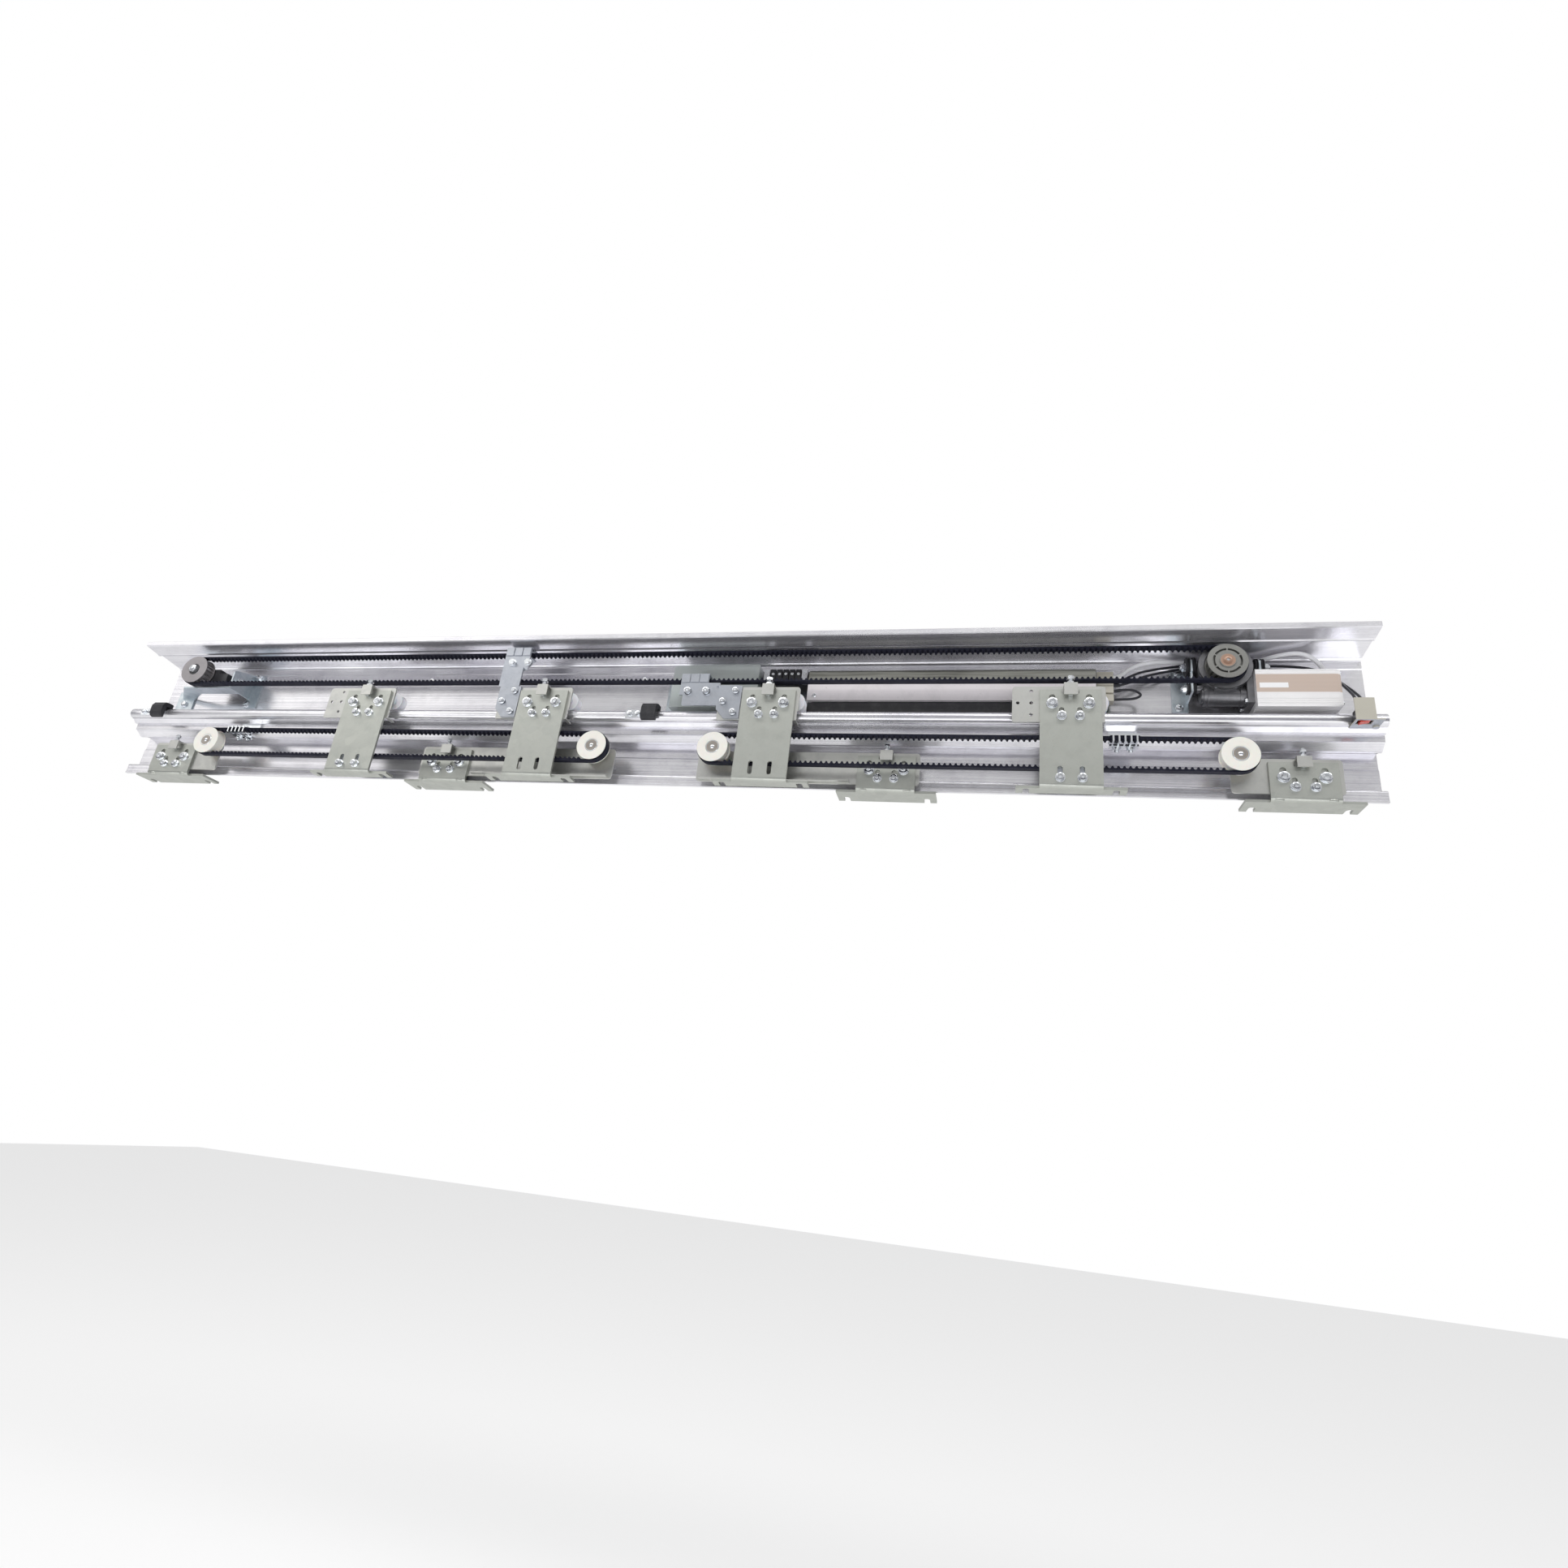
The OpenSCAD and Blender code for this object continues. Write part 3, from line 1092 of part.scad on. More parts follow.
module fast_hangers(xs) {
  color([0.74, 0.75, 0.71]) for (x = xs)
    hanger(x, y_fast, fast_w, fast_h, fast_foot_d, BIG, SMALL, true);
}
module slow_hangers(xs) {
  color([0.74, 0.75, 0.71]) for (x = xs) {
    hanger(x, y_slow, slow_w, slow_h, slow_foot_d, SLOW_BIG, SLOW_SMALL, false);
  }
}
LEFT_FAST = [FAST_X[0], FAST_X[1]];
RIGHT_FAST = [FAST_X[2], FAST_X[3]];
LEFT_SLOW = [SLOW_X[0], SLOW_X[1]];
RIGHT_SLOW = [SLOW_X[2], SLOW_X[3]];

module fast_left_hangers() fast_hangers(LEFT_FAST);
module fast_right_hangers() fast_hangers(RIGHT_FAST);
module fast_left_roller_plates() color([0.78, 0.78, 0.74]) for (x = LEFT_FAST) roller_plate(x);
module fast_right_roller_plates() color([0.78, 0.78, 0.74]) for (x = RIGHT_FAST) roller_plate(x);
module fast_left_fasteners() color("gainsboro") fast_fasteners(LEFT_FAST, 0);
module fast_right_fasteners() color("gainsboro") fast_fasteners(RIGHT_FAST, 1);
module slow_left_hangers() slow_hangers(LEFT_SLOW);
module slow_right_hangers() slow_hangers(RIGHT_SLOW);
module slow_left_pulley_plates() color([0.74, 0.77, 0.76]) for (x = LEFT_SLOW) pulley_plate(x, reach_of(x));
module slow_right_pulley_plates() color([0.74, 0.77, 0.76]) for (x = RIGHT_SLOW) pulley_plate(x, reach_of(x));
module slow_left_fasteners() color("gainsboro") slow_fasteners(LEFT_SLOW);
module slow_right_fasteners() color("gainsboro") slow_fasteners(RIGHT_SLOW);

header_profile();
lower_profile();
beam_fasteners();
motor_bracket();
rubber_mounts();
gearbox_housing();
motor_housing();
motor_windings();
gearmotor_bearings();
idler_bracket();
belt_tensioner();
stop_clips();
stop_bumpers();
upper_belt();
belt_anchors();
power_supply_cover();
circuit_boards();
controller_tray();
controller_cover();
wiring();
switch_cover();
switch_body();
drive_pulley();
output_shaft();
worm_wheel();
motor_rotor();
idler_pulley();
switch_rocker();
fast_left_hangers();
fast_left_roller_plates();
fast_left_fasteners();
fast_left_clamps();
fast_right_hangers();
fast_right_roller_plates();
fast_right_fasteners();
fast_right_clamps();
slow_left_hangers();
slow_left_pulley_plates();
slow_left_fasteners();
lower_belt_left();
slow_right_hangers();
slow_right_pulley_plates();
slow_right_fasteners();
lower_belt_right();
tele_pulley(0);  // tele_pulley_1
tele_pulley(1);  // tele_pulley_2
tele_pulley(2);  // tele_pulley_3
tele_pulley(3);  // tele_pulley_4
fast_roller(0);  // fast_roller_1
fast_roller(1);  // fast_roller_2
fast_roller(2);  // fast_roller_3
fast_roller(3);  // fast_roller_4
fast_roller(4);  // fast_roller_5
fast_roller(5);  // fast_roller_6
fast_roller(6);  // fast_roller_7
fast_roller(7);  // fast_roller_8
slow_roller(0);  // slow_roller_1
slow_roller(1);  // slow_roller_2
slow_roller(2);  // slow_roller_3
slow_roller(3);  // slow_roller_4
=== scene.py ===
# A telescopic sliding door drive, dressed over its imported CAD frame: two aluminium profiles, a worm
# gearmotor with a toothed main belt, two telescope belts, eight door carriages and the controls.
# Everything is in metres in the frame's axes: +X along the beam, +Y into the wall, +Z up.

import math

import bmesh
import bpy
from mathutils import Matrix, Vector
from mathutils.bvhtree import BVHTree


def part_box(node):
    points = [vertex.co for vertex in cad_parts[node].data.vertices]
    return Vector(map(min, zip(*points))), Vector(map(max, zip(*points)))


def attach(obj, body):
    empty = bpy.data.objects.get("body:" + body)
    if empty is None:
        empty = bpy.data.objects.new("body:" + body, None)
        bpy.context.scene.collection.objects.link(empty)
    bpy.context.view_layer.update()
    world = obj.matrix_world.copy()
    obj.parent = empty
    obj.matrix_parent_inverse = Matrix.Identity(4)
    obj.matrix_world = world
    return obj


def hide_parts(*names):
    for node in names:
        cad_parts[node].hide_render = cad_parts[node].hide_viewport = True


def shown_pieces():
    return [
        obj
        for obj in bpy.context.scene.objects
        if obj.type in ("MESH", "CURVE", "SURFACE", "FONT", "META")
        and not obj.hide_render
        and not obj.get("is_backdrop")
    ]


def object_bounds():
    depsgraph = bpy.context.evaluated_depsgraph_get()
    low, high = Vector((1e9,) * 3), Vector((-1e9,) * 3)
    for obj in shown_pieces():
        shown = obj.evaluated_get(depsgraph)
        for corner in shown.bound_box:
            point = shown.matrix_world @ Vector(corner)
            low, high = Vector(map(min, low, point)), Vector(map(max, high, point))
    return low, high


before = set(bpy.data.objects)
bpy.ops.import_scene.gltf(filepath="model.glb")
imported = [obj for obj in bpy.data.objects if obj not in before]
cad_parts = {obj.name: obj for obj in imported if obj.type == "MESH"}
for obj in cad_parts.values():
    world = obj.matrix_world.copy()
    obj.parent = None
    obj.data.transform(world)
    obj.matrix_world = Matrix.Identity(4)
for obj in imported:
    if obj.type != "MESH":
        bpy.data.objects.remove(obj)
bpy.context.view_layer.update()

MM = 0.001
ALONG, WALL, UP = Vector((1, 0, 0)), Vector((0, 1, 0)), Vector((0, 0, 1))
FRONT = -WALL


# ---- Camera and studio ----------------------------------------------------------------------
# The photograph was taken from below the beam and right of its middle with a wide lens, the beam
# running away to the left. The object stands against white, lit from the ceiling in front of it.

POINTS = {
    "left_edge": (128, None),
    "right_edge": (1394, None),
    "top_edge": (None, 624),
    "bottom_edge": (None, 816),
    "idler_bolt": (195, 669),
    "drive_hub": (1228, 660),
    "telescope_pulley_1": (204, 742),
    "telescope_pulley_2": (592, 741),
    "telescope_pulley_3": (712, 744),
    "telescope_pulley_4": (1241, 755),
    "adjuster_1": (371, 681),
    "adjuster_2": (546, 679),
    "adjuster_3": (770, 678),
    "adjuster_4": (1070, 676),
    "motor_label": (1274, 685),
    "switch_corner": (1356, 719),
}
W = H = L = 1568

camera = bpy.data.cameras.new("photo_camera")
camera.lens = 20.687
camera.sensor_width = 36
camera.sensor_fit = "AUTO"
camera.clip_start = 0.05


def put(name, data):
    """A new object in the scene."""
    made = bpy.data.objects.new(name, data)
    bpy.context.scene.collection.objects.link(made)
    return made


viewer = put("photo_camera", camera)
bpy.context.scene.camera = viewer
camera_place = Vector((0.54175, -1.3005, -0.6256))
camera_right = Vector((0.97282, 0.20502, 0.10769))
camera_back = Vector((0.23049, -0.90227, -0.36439))
camera_up = camera_back.cross(camera_right)
viewer.matrix_world = Matrix.Translation(camera_place) @ Matrix(
    (camera_right, camera_up, camera_back)).transposed().to_4x4()


def shown_at(place):
    """Where a point of space shows, in the image points' frame."""
    seen = viewer.matrix_world.inverted() @ Vector(place)
    scale = L * camera.lens / camera.sensor_width / -seen.z
    return W / 2 - camera.shift_x * L + scale * seen.x, H / 2 + camera.shift_y * L - scale * seen.y


def place_on(carriers, point):
    """The place and outward normal where an image point's ray meets the carriers' faces."""
    x, y = point
    ray = viewer.matrix_world.to_3x3() @ Vector((
        x - W / 2 + camera.shift_x * L,
        H / 2 - y + camera.shift_y * L,
        -L * camera.lens / camera.sensor_width))
    ray.normalize()
    places, faces = [], []
    for carrier in carriers:
        base = len(places)
        places += [carrier.matrix_world @ v.co for v in carrier.data.vertices]
        faces += [[base + i for i in f.vertices] for f in carrier.data.polygons]
    tree = BVHTree.FromPolygons(places, faces)
    hit, normal, _, _ = tree.ray_cast(viewer.location, ray)
    if hit is None:
        middle = sum(places, Vector()) / len(places)
        along = (middle - viewer.location).dot(ray)
        hit, normal, _, _ = tree.find_nearest(viewer.location + along * ray)
    return hit, normal if normal.dot(ray) < 0 else -normal


def soft_light(name, place, aim, size, watts, tint=(1, 1, 1)):
    """A rectangular lamp that looks from place towards aim."""
    light = bpy.data.lights.new(name, "AREA")
    light.shape = "RECTANGLE"
    light.size, light.size_y = size
    light.energy = watts
    light.color = tint
    lamp = put(name, light)
    lamp.location = place
    lamp.rotation_euler = (Vector(aim) - Vector(place)).to_track_quat("-Z", "Y").to_euler()


def add(tree, kind, settings=None, **inputs):
    """Adds a shader node; inputs go by socket name, or by number as _0, and may be other sockets."""
    made = tree.nodes.new("ShaderNode" + kind)
    for key, value in (settings or {}).items():
        setattr(made, key, value)
    for key, value in inputs.items():
        socket = made.inputs[int(key[1:]) if key[0] == "_" else key.replace("_", " ")]
        if isinstance(value, bpy.types.NodeSocket):
            tree.links.new(value, socket)
        else:
            socket.default_value = value
    return made


def ramp(tree, factor, *stops):
    """A colour ramp through (position, colour) stops."""
    made = add(tree, "ValToRGB", _0=factor)
    points = made.color_ramp.elements
    while len(points) < len(stops):
        points.new(0.5)
    for point, (position, colour) in zip(points, stops):
        point.position = position
        point.color = (*colour, 1) if len(colour) == 3 else colour
    return made.outputs[0]


def spread(tree, factor, low, high, start=0.0, end=1.0):
    """Stretches a varying value from start and end to low and high."""
    return add(tree, "MapRange", _0=factor, _1=start, _2=end, _3=low, _4=high).outputs[0]


def grey(value):
    return (value, value, value)


def finish(name, metallic=0.0, roughness=0.5, **plain):
    """A new material with its shader; plain values go straight on the shader's sockets."""
    material = bpy.data.materials.new(name)
    material.use_nodes = True
    shader = material.node_tree.nodes["Principled BSDF"]
    shader.inputs["Metallic"].default_value = metallic
    shader.inputs["Roughness"].default_value = roughness
    for key, value in plain.items():
        shader.inputs[key.replace("_", " ")].default_value = value
    return material, material.node_tree, shader.inputs


world = bpy.data.worlds.new("studio")
bpy.context.scene.world = world
world.use_nodes = True
sky = world.node_tree
sky.nodes.clear()
direction = add(sky, "TexCoord").outputs["Generated"]
height = add(sky, "SeparateXYZ", _0=direction)
level = spread(sky, height.outputs["Z"], 0.0, 1.0, -1.0, 1.0)
DIM, DARK = (0.34, 0.34, 0.38), (0.16, 0.16, 0.20)
room = ramp(sky, level, (0.0, grey(0.75)), (0.30, grey(0.60)), (0.43, DIM), (0.50, DARK), (0.57, DIM),
            (0.66, grey(1.12)), (0.74, grey(0.88)), (0.86, grey(1.15)), (1.0, grey(0.7)))
white_wall = add(sky, "Background", Color=(1, 1, 1, 1), Strength=1.0)
room_light = add(sky, "Background", Color=room, Strength=0.62)
straight = add(sky, "LightPath").outputs["Is Camera Ray"]
both = add(sky, "MixShader", _0=straight, _1=room_light.outputs[0], _2=white_wall.outputs[0])
sky.links.new(both.outputs[0], add(sky, "OutputWorld").inputs[0])

soft_light("ceiling_panel", (0.1, -1.7, 2.1), (0, 0, 0), (6.5, 0.7), 50)
soft_light("left_panel", (-2.7, -2.1, 1.3), (-0.2, 0, 0), (2.0, 1.6), 7, (1.0, 0.98, 0.95))
soft_light("low_panel", (0.1, -1.5, -1.3), (0, 0, 0), (6.0, 0.5), 14, (0.95, 0.97, 1.0))
bpy.context.scene.view_settings.view_transform = "Standard"
bpy.context.scene.view_settings.look = "None"

FLOOR_REACH, FLOOR_LEVEL = 9, -1.5
floor_mesh = bpy.data.meshes.new("floor")
floor_mesh.from_pydata([(x * FLOOR_REACH, y * FLOOR_REACH, FLOOR_LEVEL)
                        for x, y in ((-1, -1), (1, -1), (1, 1), (-1, 1))], [], [(0, 1, 2, 3)])
floor_mesh.materials.append(finish("pale_floor", 0.0, 0.9, Base_Color=(0.93, 0.93, 0.93, 1),
                                   Emission_Color=(1, 1, 1, 1), Emission_Strength=0.25)[0])
put("floor", floor_mesh)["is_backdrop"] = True


# ---- Extruded profiles ----------------------------------------------------------------------
# Header profile above, lower profile below: mill-finish aluminium, drawn through a die, so fine
# die lines run the whole length, with light handling marks. Their edges are slightly eased.

def effect(name, inputs, outputs):
    """An empty shader node group: its tree, input sockets and output sockets."""
    tree = bpy.data.node_groups.new(name, "ShaderNodeTree")
    for label, value in inputs.items():
        kind = "NodeSocketColor" if isinstance(value, tuple) else "NodeSocketFloat"
        tree.interface.new_socket(label, in_out="INPUT", socket_type=kind).default_value = value
    for label, kind in outputs.items():
        tree.interface.new_socket(label, in_out="OUTPUT", socket_type="NodeSocket" + kind)
    return tree, tree.nodes.new("NodeGroupInput").outputs, tree.nodes.new("NodeGroupOutput").inputs


def use(tree, group, **inputs):
    """Places a node group in a material with its own values."""
    made = tree.nodes.new("ShaderNodeGroup")
    made.node_tree = group
    for key, value in inputs.items():
        socket = made.inputs[key.replace("_", " ")]
        if isinstance(value, bpy.types.NodeSocket):
            tree.links.new(value, socket)
        else:
            socket.default_value = (*value, 1) if isinstance(value, tuple) else value
    return made.outputs


def noise(tree, place, size, detail, rough=0.5):
    """Cloudy noise from 0 to 1."""
    return add(tree, "TexNoise", Vector=place, Scale=size, Detail=detail, Roughness=rough).outputs["Fac"]


def on_object(tree):
    """Where a point lies on its piece."""
    return add(tree, "TexCoord").outputs["Object"]


def maths(tree, operation, first, second):
    """A Math node on two values, such as their product."""
    return add(tree, "Math", {"operation": operation}, _0=first, _1=second).outputs[0]


def blend(tree, share, first, second):
    """A colour between two."""
    return add(tree, "Mix", {"data_type": "RGBA"}, _0=share, _6=first, _7=second).outputs[2]


def build_drawn_lines():
    """Lines drawn along X or across it: a colour that varies between two, and their height."""
    tree, given, result = effect(
        "drawn_lines", {"Colour": grey(0.8) + (1,), "Line colour": grey(0.6) + (1,), "Along": 1.5,
                        "Across": 500.0, "Amount": 0.5}, {"Colour": "Color", "Height": "Float"})
    place = on_object(tree)
    stretch = add(tree, "CombineXYZ", _0=given["Along"], _1=given["Across"], _2=given["Across"])
    where = add(tree, "VectorMath", {"operation": "MULTIPLY"}, _0=place, _1=stretch.outputs[0])
    lines = noise(tree, where.outputs[0], 1.0, 3.0, 0.65)
    both = maths(tree, "MULTIPLY", lines, noise(tree, place, 7.0, 3.0))
    strength = spread(tree, both, 0.0, given["Amount"], 0.12, 0.42)
    tree.links.new(blend(tree, strength, given["Colour"], given["Line colour"]), result["Colour"])
    tree.links.new(lines, result["Height"])
    return tree


def build_marks():
    """Handling marks and grime: soft patches and small specks over any base colour."""
    tree, given, result = effect(
        "handling_marks", {"Colour": grey(0.8) + (1,), "Mark colour": grey(0.3) + (1,), "Size": 30.0,
                           "Amount": 0.3}, {"Colour": "Color", "Mask": "Float"})
    place = on_object(tree)
    patches = noise(tree, place, given["Size"], 6.0, 0.72)
    specks = noise(tree, place, maths(tree, "MULTIPLY", given["Size"], 9.0), 2.0)
    soft, sharp = spread(tree, patches, 0.0, 1.0, 0.48, 0.74), spread(tree, specks, 0.0, 1.0, 0.66, 0.74)
    mask = maths(tree, "MULTIPLY", maths(tree, "MAXIMUM", soft, sharp), given["Amount"])
    tree.links.new(blend(tree, mask, given["Colour"], given["Mark colour"]), result["Colour"])
    tree.links.new(mask, result["Mask"])
    return tree


drawn_lines = build_drawn_lines()
marks = build_marks()


def join_up(tree, sockets, colour=None, roughness=None, height=None, bump=0.1, distance=0.0004):
    """Feeds a material's varying colour, roughness and bump into its shader."""
    if colour is not None:
        tree.links.new(colour, sockets["Base Color"])
    if roughness is not None:
        tree.links.new(roughness, sockets["Roughness"])
    if height is not None:
        relief = add(tree, "Bump", Strength=bump, Distance=distance, Height=height)
        tree.links.new(relief.outputs[0], sockets["Normal"])


def drawn_metal(name, colour, line_colour, roughness, amount=0.6, mark=0.25, bump=0.12, along=1.5,
                across=500.0, metallic=1.0):
    """Metal with lines drawn along X, marks, and a roughness that follows them."""
    material, tree, sockets = finish(name, metallic)
    lines = use(tree, drawn_lines, Colour=colour, Line_colour=line_colour, Amount=amount, Along=along,
                Across=across)
    worn = use(tree, marks, Colour=lines["Colour"], Mark_colour=tuple(0.55 * c for c in line_colour),
               Amount=mark)
    gloss = spread(tree, lines["Height"], roughness - 0.08, roughness + 0.12)
    join_up(tree, sockets, worn["Colour"], gloss, lines["Height"], bump, 0.0002)
    return material


WELD = 0.01 * MM


def ease(node, width, angle=32):
    """Rounds a CAD node's sharp edges a little, so that they catch the light."""
    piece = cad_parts[node]
    weld = piece.modifiers.new("weld", "WELD")
    weld.merge_threshold = WELD
    flat = piece.modifiers.new("flat_faces", "DECIMATE")
    flat.decimate_type = "DISSOLVE"
    flat.angle_limit = math.radians(0.5)
    flat.delimit = {"MATERIAL"}
    bevel = piece.modifiers.new("eased_edges", "BEVEL")
    bevel.width = width * MM
    bevel.segments = 2
    bevel.limit_method = "ANGLE"
    bevel.angle_limit = math.radians(angle)
    bevel.harden_normals = True


def islands(node):
    """The separate solids of a CAD node: each one's faces, lowest and highest corner and middle."""
    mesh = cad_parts[node].data
    parent = {}

    def root(key):
        while parent[key] != key:
            parent[key] = parent[parent[key]]
            key = parent[key]
        return key

    keys = [tuple(round(c / WELD) for c in v.co) for v in mesh.vertices]
    for key in keys:
        parent[key] = key
    for face in mesh.polygons:
        first = root(keys[face.vertices[0]])
        for other in face.vertices[1:]:
            parent[root(keys[other])] = first
    found = {}
    for face in mesh.polygons:
        found.setdefault(root(keys[face.vertices[0]]), []).append(face.index)
    solids = []
    for faces in found.values():
        places = [mesh.vertices[i].co for f in faces for i in mesh.polygons[f].vertices]
        low = Vector([min(p[k] for p in places) for k in range(3)])
        high = Vector([max(p[k] for p in places) for k in range(3)])
        solids.append({"faces": faces, "low": low, "high": high, "middle": (low + high) / 2,
                       "size": high - low})
    return sorted(solids, key=lambda s: (round(s["middle"].x, 5), round(s["middle"].z, 5)))


def coat(node, material, *others):
    """Gives a CAD node its finish. Each of others is (finish, test of a face and of its solid)."""
    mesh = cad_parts[node].data
    mesh.materials.clear()
    mesh.materials.append(material)
    for index, (other, wanted) in enumerate(others, 1):
        mesh.materials.append(other)
        for solid in islands(node):
            for face in solid["faces"]:
                if wanted(mesh.polygons[face], solid):
                    mesh.polygons[face].material_index = index


def dress(node, edge, material, *others, angle=32):
    """A CAD node's finish and eased edges."""
    coat(node, material, *others)
    ease(node, edge, angle)


mill_aluminium = drawn_metal("mill_aluminium", (0.95, 0.945, 0.97), (0.52, 0.51, 0.57), 0.22, 0.65, 0.22,
                             metallic=0.84)
for profile in ("header_profile", "lower_profile"):
    dress(profile, 0.5, mill_aluminium)


# ---- Screws, nuts and studs -----------------------------------------------------------------
# Bright zinc-plated steel hardware: chamfered hexagon nuts and heads on washers, with the ends of
# their threads proud. Each is turned by its own amount, as a fitter leaves it.

def local(place, axis):
    """The frame whose Z axis points along axis at place."""
    return Matrix.Translation(place) @ Vector(axis).to_track_quat("Z", "Y").to_matrix().to_4x4()


def sweep(bm, rings, where, closed, finish_index=0):
    """Joins rings of points into a skin; a ring of one point is a pole."""
    made = [[bm.verts.new(where @ Vector(p)) for p in ring] for ring in rings]
    pairs = list(zip(made, made[1:])) + ([(made[-1], made[0])] if closed else [])
    for a, b in pairs:
        count = max(len(a), len(b))
        for i in range(count):
            j = (i + 1) % count
            corners = [a[i], a[j], b[j], b[i]] if len(a) == len(b) else (
                [a[0], b[j], b[i]] if len(a) == 1 else [a[i], a[j], b[0]])
            bm.faces.new(corners).material_index = finish_index


def round_ring(radius, level, steps):
    """A ring of points in millimetres, as metres; a radius of 0 gives one point."""
    return [(radius * MM * math.cos(a), radius * MM * math.sin(a), level * MM)
            for a in (2 * math.pi * i / steps for i in range(steps if radius > 0 else 1))]


def turned(bm, profile, place, axis, steps=40, finish_index=0):
    """A turned shape from (radius, height) points along axis; it closes on itself if bored."""
    rings = [round_ring(radius, level, steps) for radius, level in profile]
    sweep(bm, rings, local(place, axis), len(rings[0]) > 1 and len(rings[-1]) > 1, finish_index)


def hexagon(bm, across, height, place, axis, spin=0.0, bore=0.0, finish_index=0):
    """A hexagon nut or head with both its ends chamfered, standing on place along axis."""
    steps = 36
    flat = across / 2
    rings = [[], [], [], []]
    for i in range(steps):
        a = 2 * math.pi * i / steps
        reach = flat / math.cos((a + math.pi / 6) % (math.pi / 3) - math.pi / 6)
        drop = max(0.0, reach - flat * 0.98) * 0.58
        round_reach = min(reach, flat * 0.95)
        skin = ((round_reach, 0), (reach, drop), (reach, height - drop), (round_reach, height))
        for ring, (r, z) in zip(rings, skin):
            ring.append((r * MM * math.cos(a + spin), r * MM * math.sin(a + spin), z * MM))
    rings = [round_ring(bore, 0, steps)] + rings + [round_ring(bore, height, steps)]
    sweep(bm, rings, local(place, axis), bool(bore), finish_index)


def washer(bm, radius, thick, bore, place, axis, finish_index=0):
    """A flat washer with its outer edges chamfered."""
    e = min(0.3, thick / 3)
    turned(bm, [(bore, 0), (radius - e, 0), (radius, e), (radius, thick - e), (radius - e, thick),
                (bore, thick)], place, axis, 40, finish_index)


def thread(bm, radius, length, place, axis, pitch=1.1, finish_index=0):
    """A threaded end: rounded ridges, a chamfer and a small dimple in its face."""
    root, chamfer = radius - 0.35, length - radius * 0.25
    profile = [(0, 0), (radius, 0)]
    level = 0.2
    while level + pitch < chamfer:
        profile += [(radius, level), (root, level + pitch * 0.45), (root, level + pitch * 0.6)]
        level += pitch
    profile += [(radius, chamfer), (radius * 0.75, length), (radius * 0.3, length), (0, length - 0.3)]
    turned(bm, profile, place, axis, 24, finish_index)


def socket_head(bm, sizes, spot, axis, finish_index=0):
    """A round screw head: socket's floor and radius, top, rim, outer radius and shoulder."""
    floor_level, socket, top, rim, radius, shoulder = sizes
    turned(bm, [(0, floor_level), (socket, floor_level), (socket, top), (rim, top), (radius, shoulder),
                (radius, 0), (0, 0)], spot, axis, 24, finish_index)


def block(bm, low, high, edge=0.5, finish_index=0):
    """A box between two corners with its edges chamfered."""
    low, high = Vector(low), Vector(high)
    made = bmesh.ops.create_cube(bm, size=1.0, matrix=Matrix.Translation((low + high) / 2)
                                 @ Matrix.Diagonal((*(high - low), 1)))
    edges = list({e for v in made["verts"] for e in v.link_edges})
    faces = list({f for v in made["verts"] for f in v.link_faces})
    for face in faces:
        face.material_index = finish_index
    if edge:
        rounded = bmesh.ops.bevel(bm, geom=edges, offset=edge * MM, segments=2, profile=0.7, affect="EDGES")
        for face in rounded["faces"]:
            face.material_index = finish_index


def keep_solid(bm, node, solid, finish_index=0):
    """Copies one solid of a CAD node into a new piece."""
    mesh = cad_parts[node].data
    corners = {}
    for index in solid["faces"]:
        ring = []
        for i in mesh.polygons[index].vertices:
            place = mesh.vertices[i].co
            key = tuple(round(c / WELD) for c in place)
            if key not in corners:
                corners[key] = bm.verts.new(place)
            if corners[key] not in ring:
                ring.append(corners[key])
        if len(ring) > 2 and not bm.faces.get(ring):
            bm.faces.new(ring).material_index = finish_index


def piece(name, bm, materials, body, slot, replaced=(), smooth=35):
    """Makes the shape a piece of the scene that rides on a body."""
    bmesh.ops.recalc_face_normals(bm, faces=bm.faces)
    mesh = bpy.data.meshes.new(name)
    bm.to_mesh(mesh)
    bm.free()
    for material in materials:
        mesh.materials.append(material)
    made = put(name, mesh)
    mesh.shade_smooth()
    mesh.set_sharp_from_angle(angle=math.radians(smooth))
    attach(made, body)
    if replaced:
        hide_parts(*replaced)


def build_bloom():
    """Zinc bloom: crystal patches of slightly different brightness, with their relief."""
    tree, given, result = effect(
        "zinc_bloom", {"Pale": grey(0.8) + (1,), "Dark": grey(0.5) + (1,), "Size": 120.0, "Amount": 0.5},
        {"Colour": "Color", "Mask": "Float", "Height": "Float"})
    place = on_object(tree)
    crystals = add(tree, "TexVoronoi", {"feature": "F1"}, Vector=place, Scale=given["Size"], Randomness=1.0)
    tone = add(tree, "SeparateColor", _0=crystals.outputs["Color"])
    clouds = noise(tree, place, 14.0, 5.0, 0.6)
    both = add(tree, "Mix", {"data_type": "FLOAT"}, _0=0.6, _2=tone.outputs[0], _3=clouds).outputs[0]
    share = maths(tree, "MULTIPLY", both, given["Amount"])
    tree.links.new(blend(tree, share, given["Pale"], given["Dark"]), result["Colour"])
    tree.links.new(both, result["Mask"])
    tree.links.new(crystals.outputs["Distance"], result["Height"])
    return tree


zinc_bloom = build_bloom()


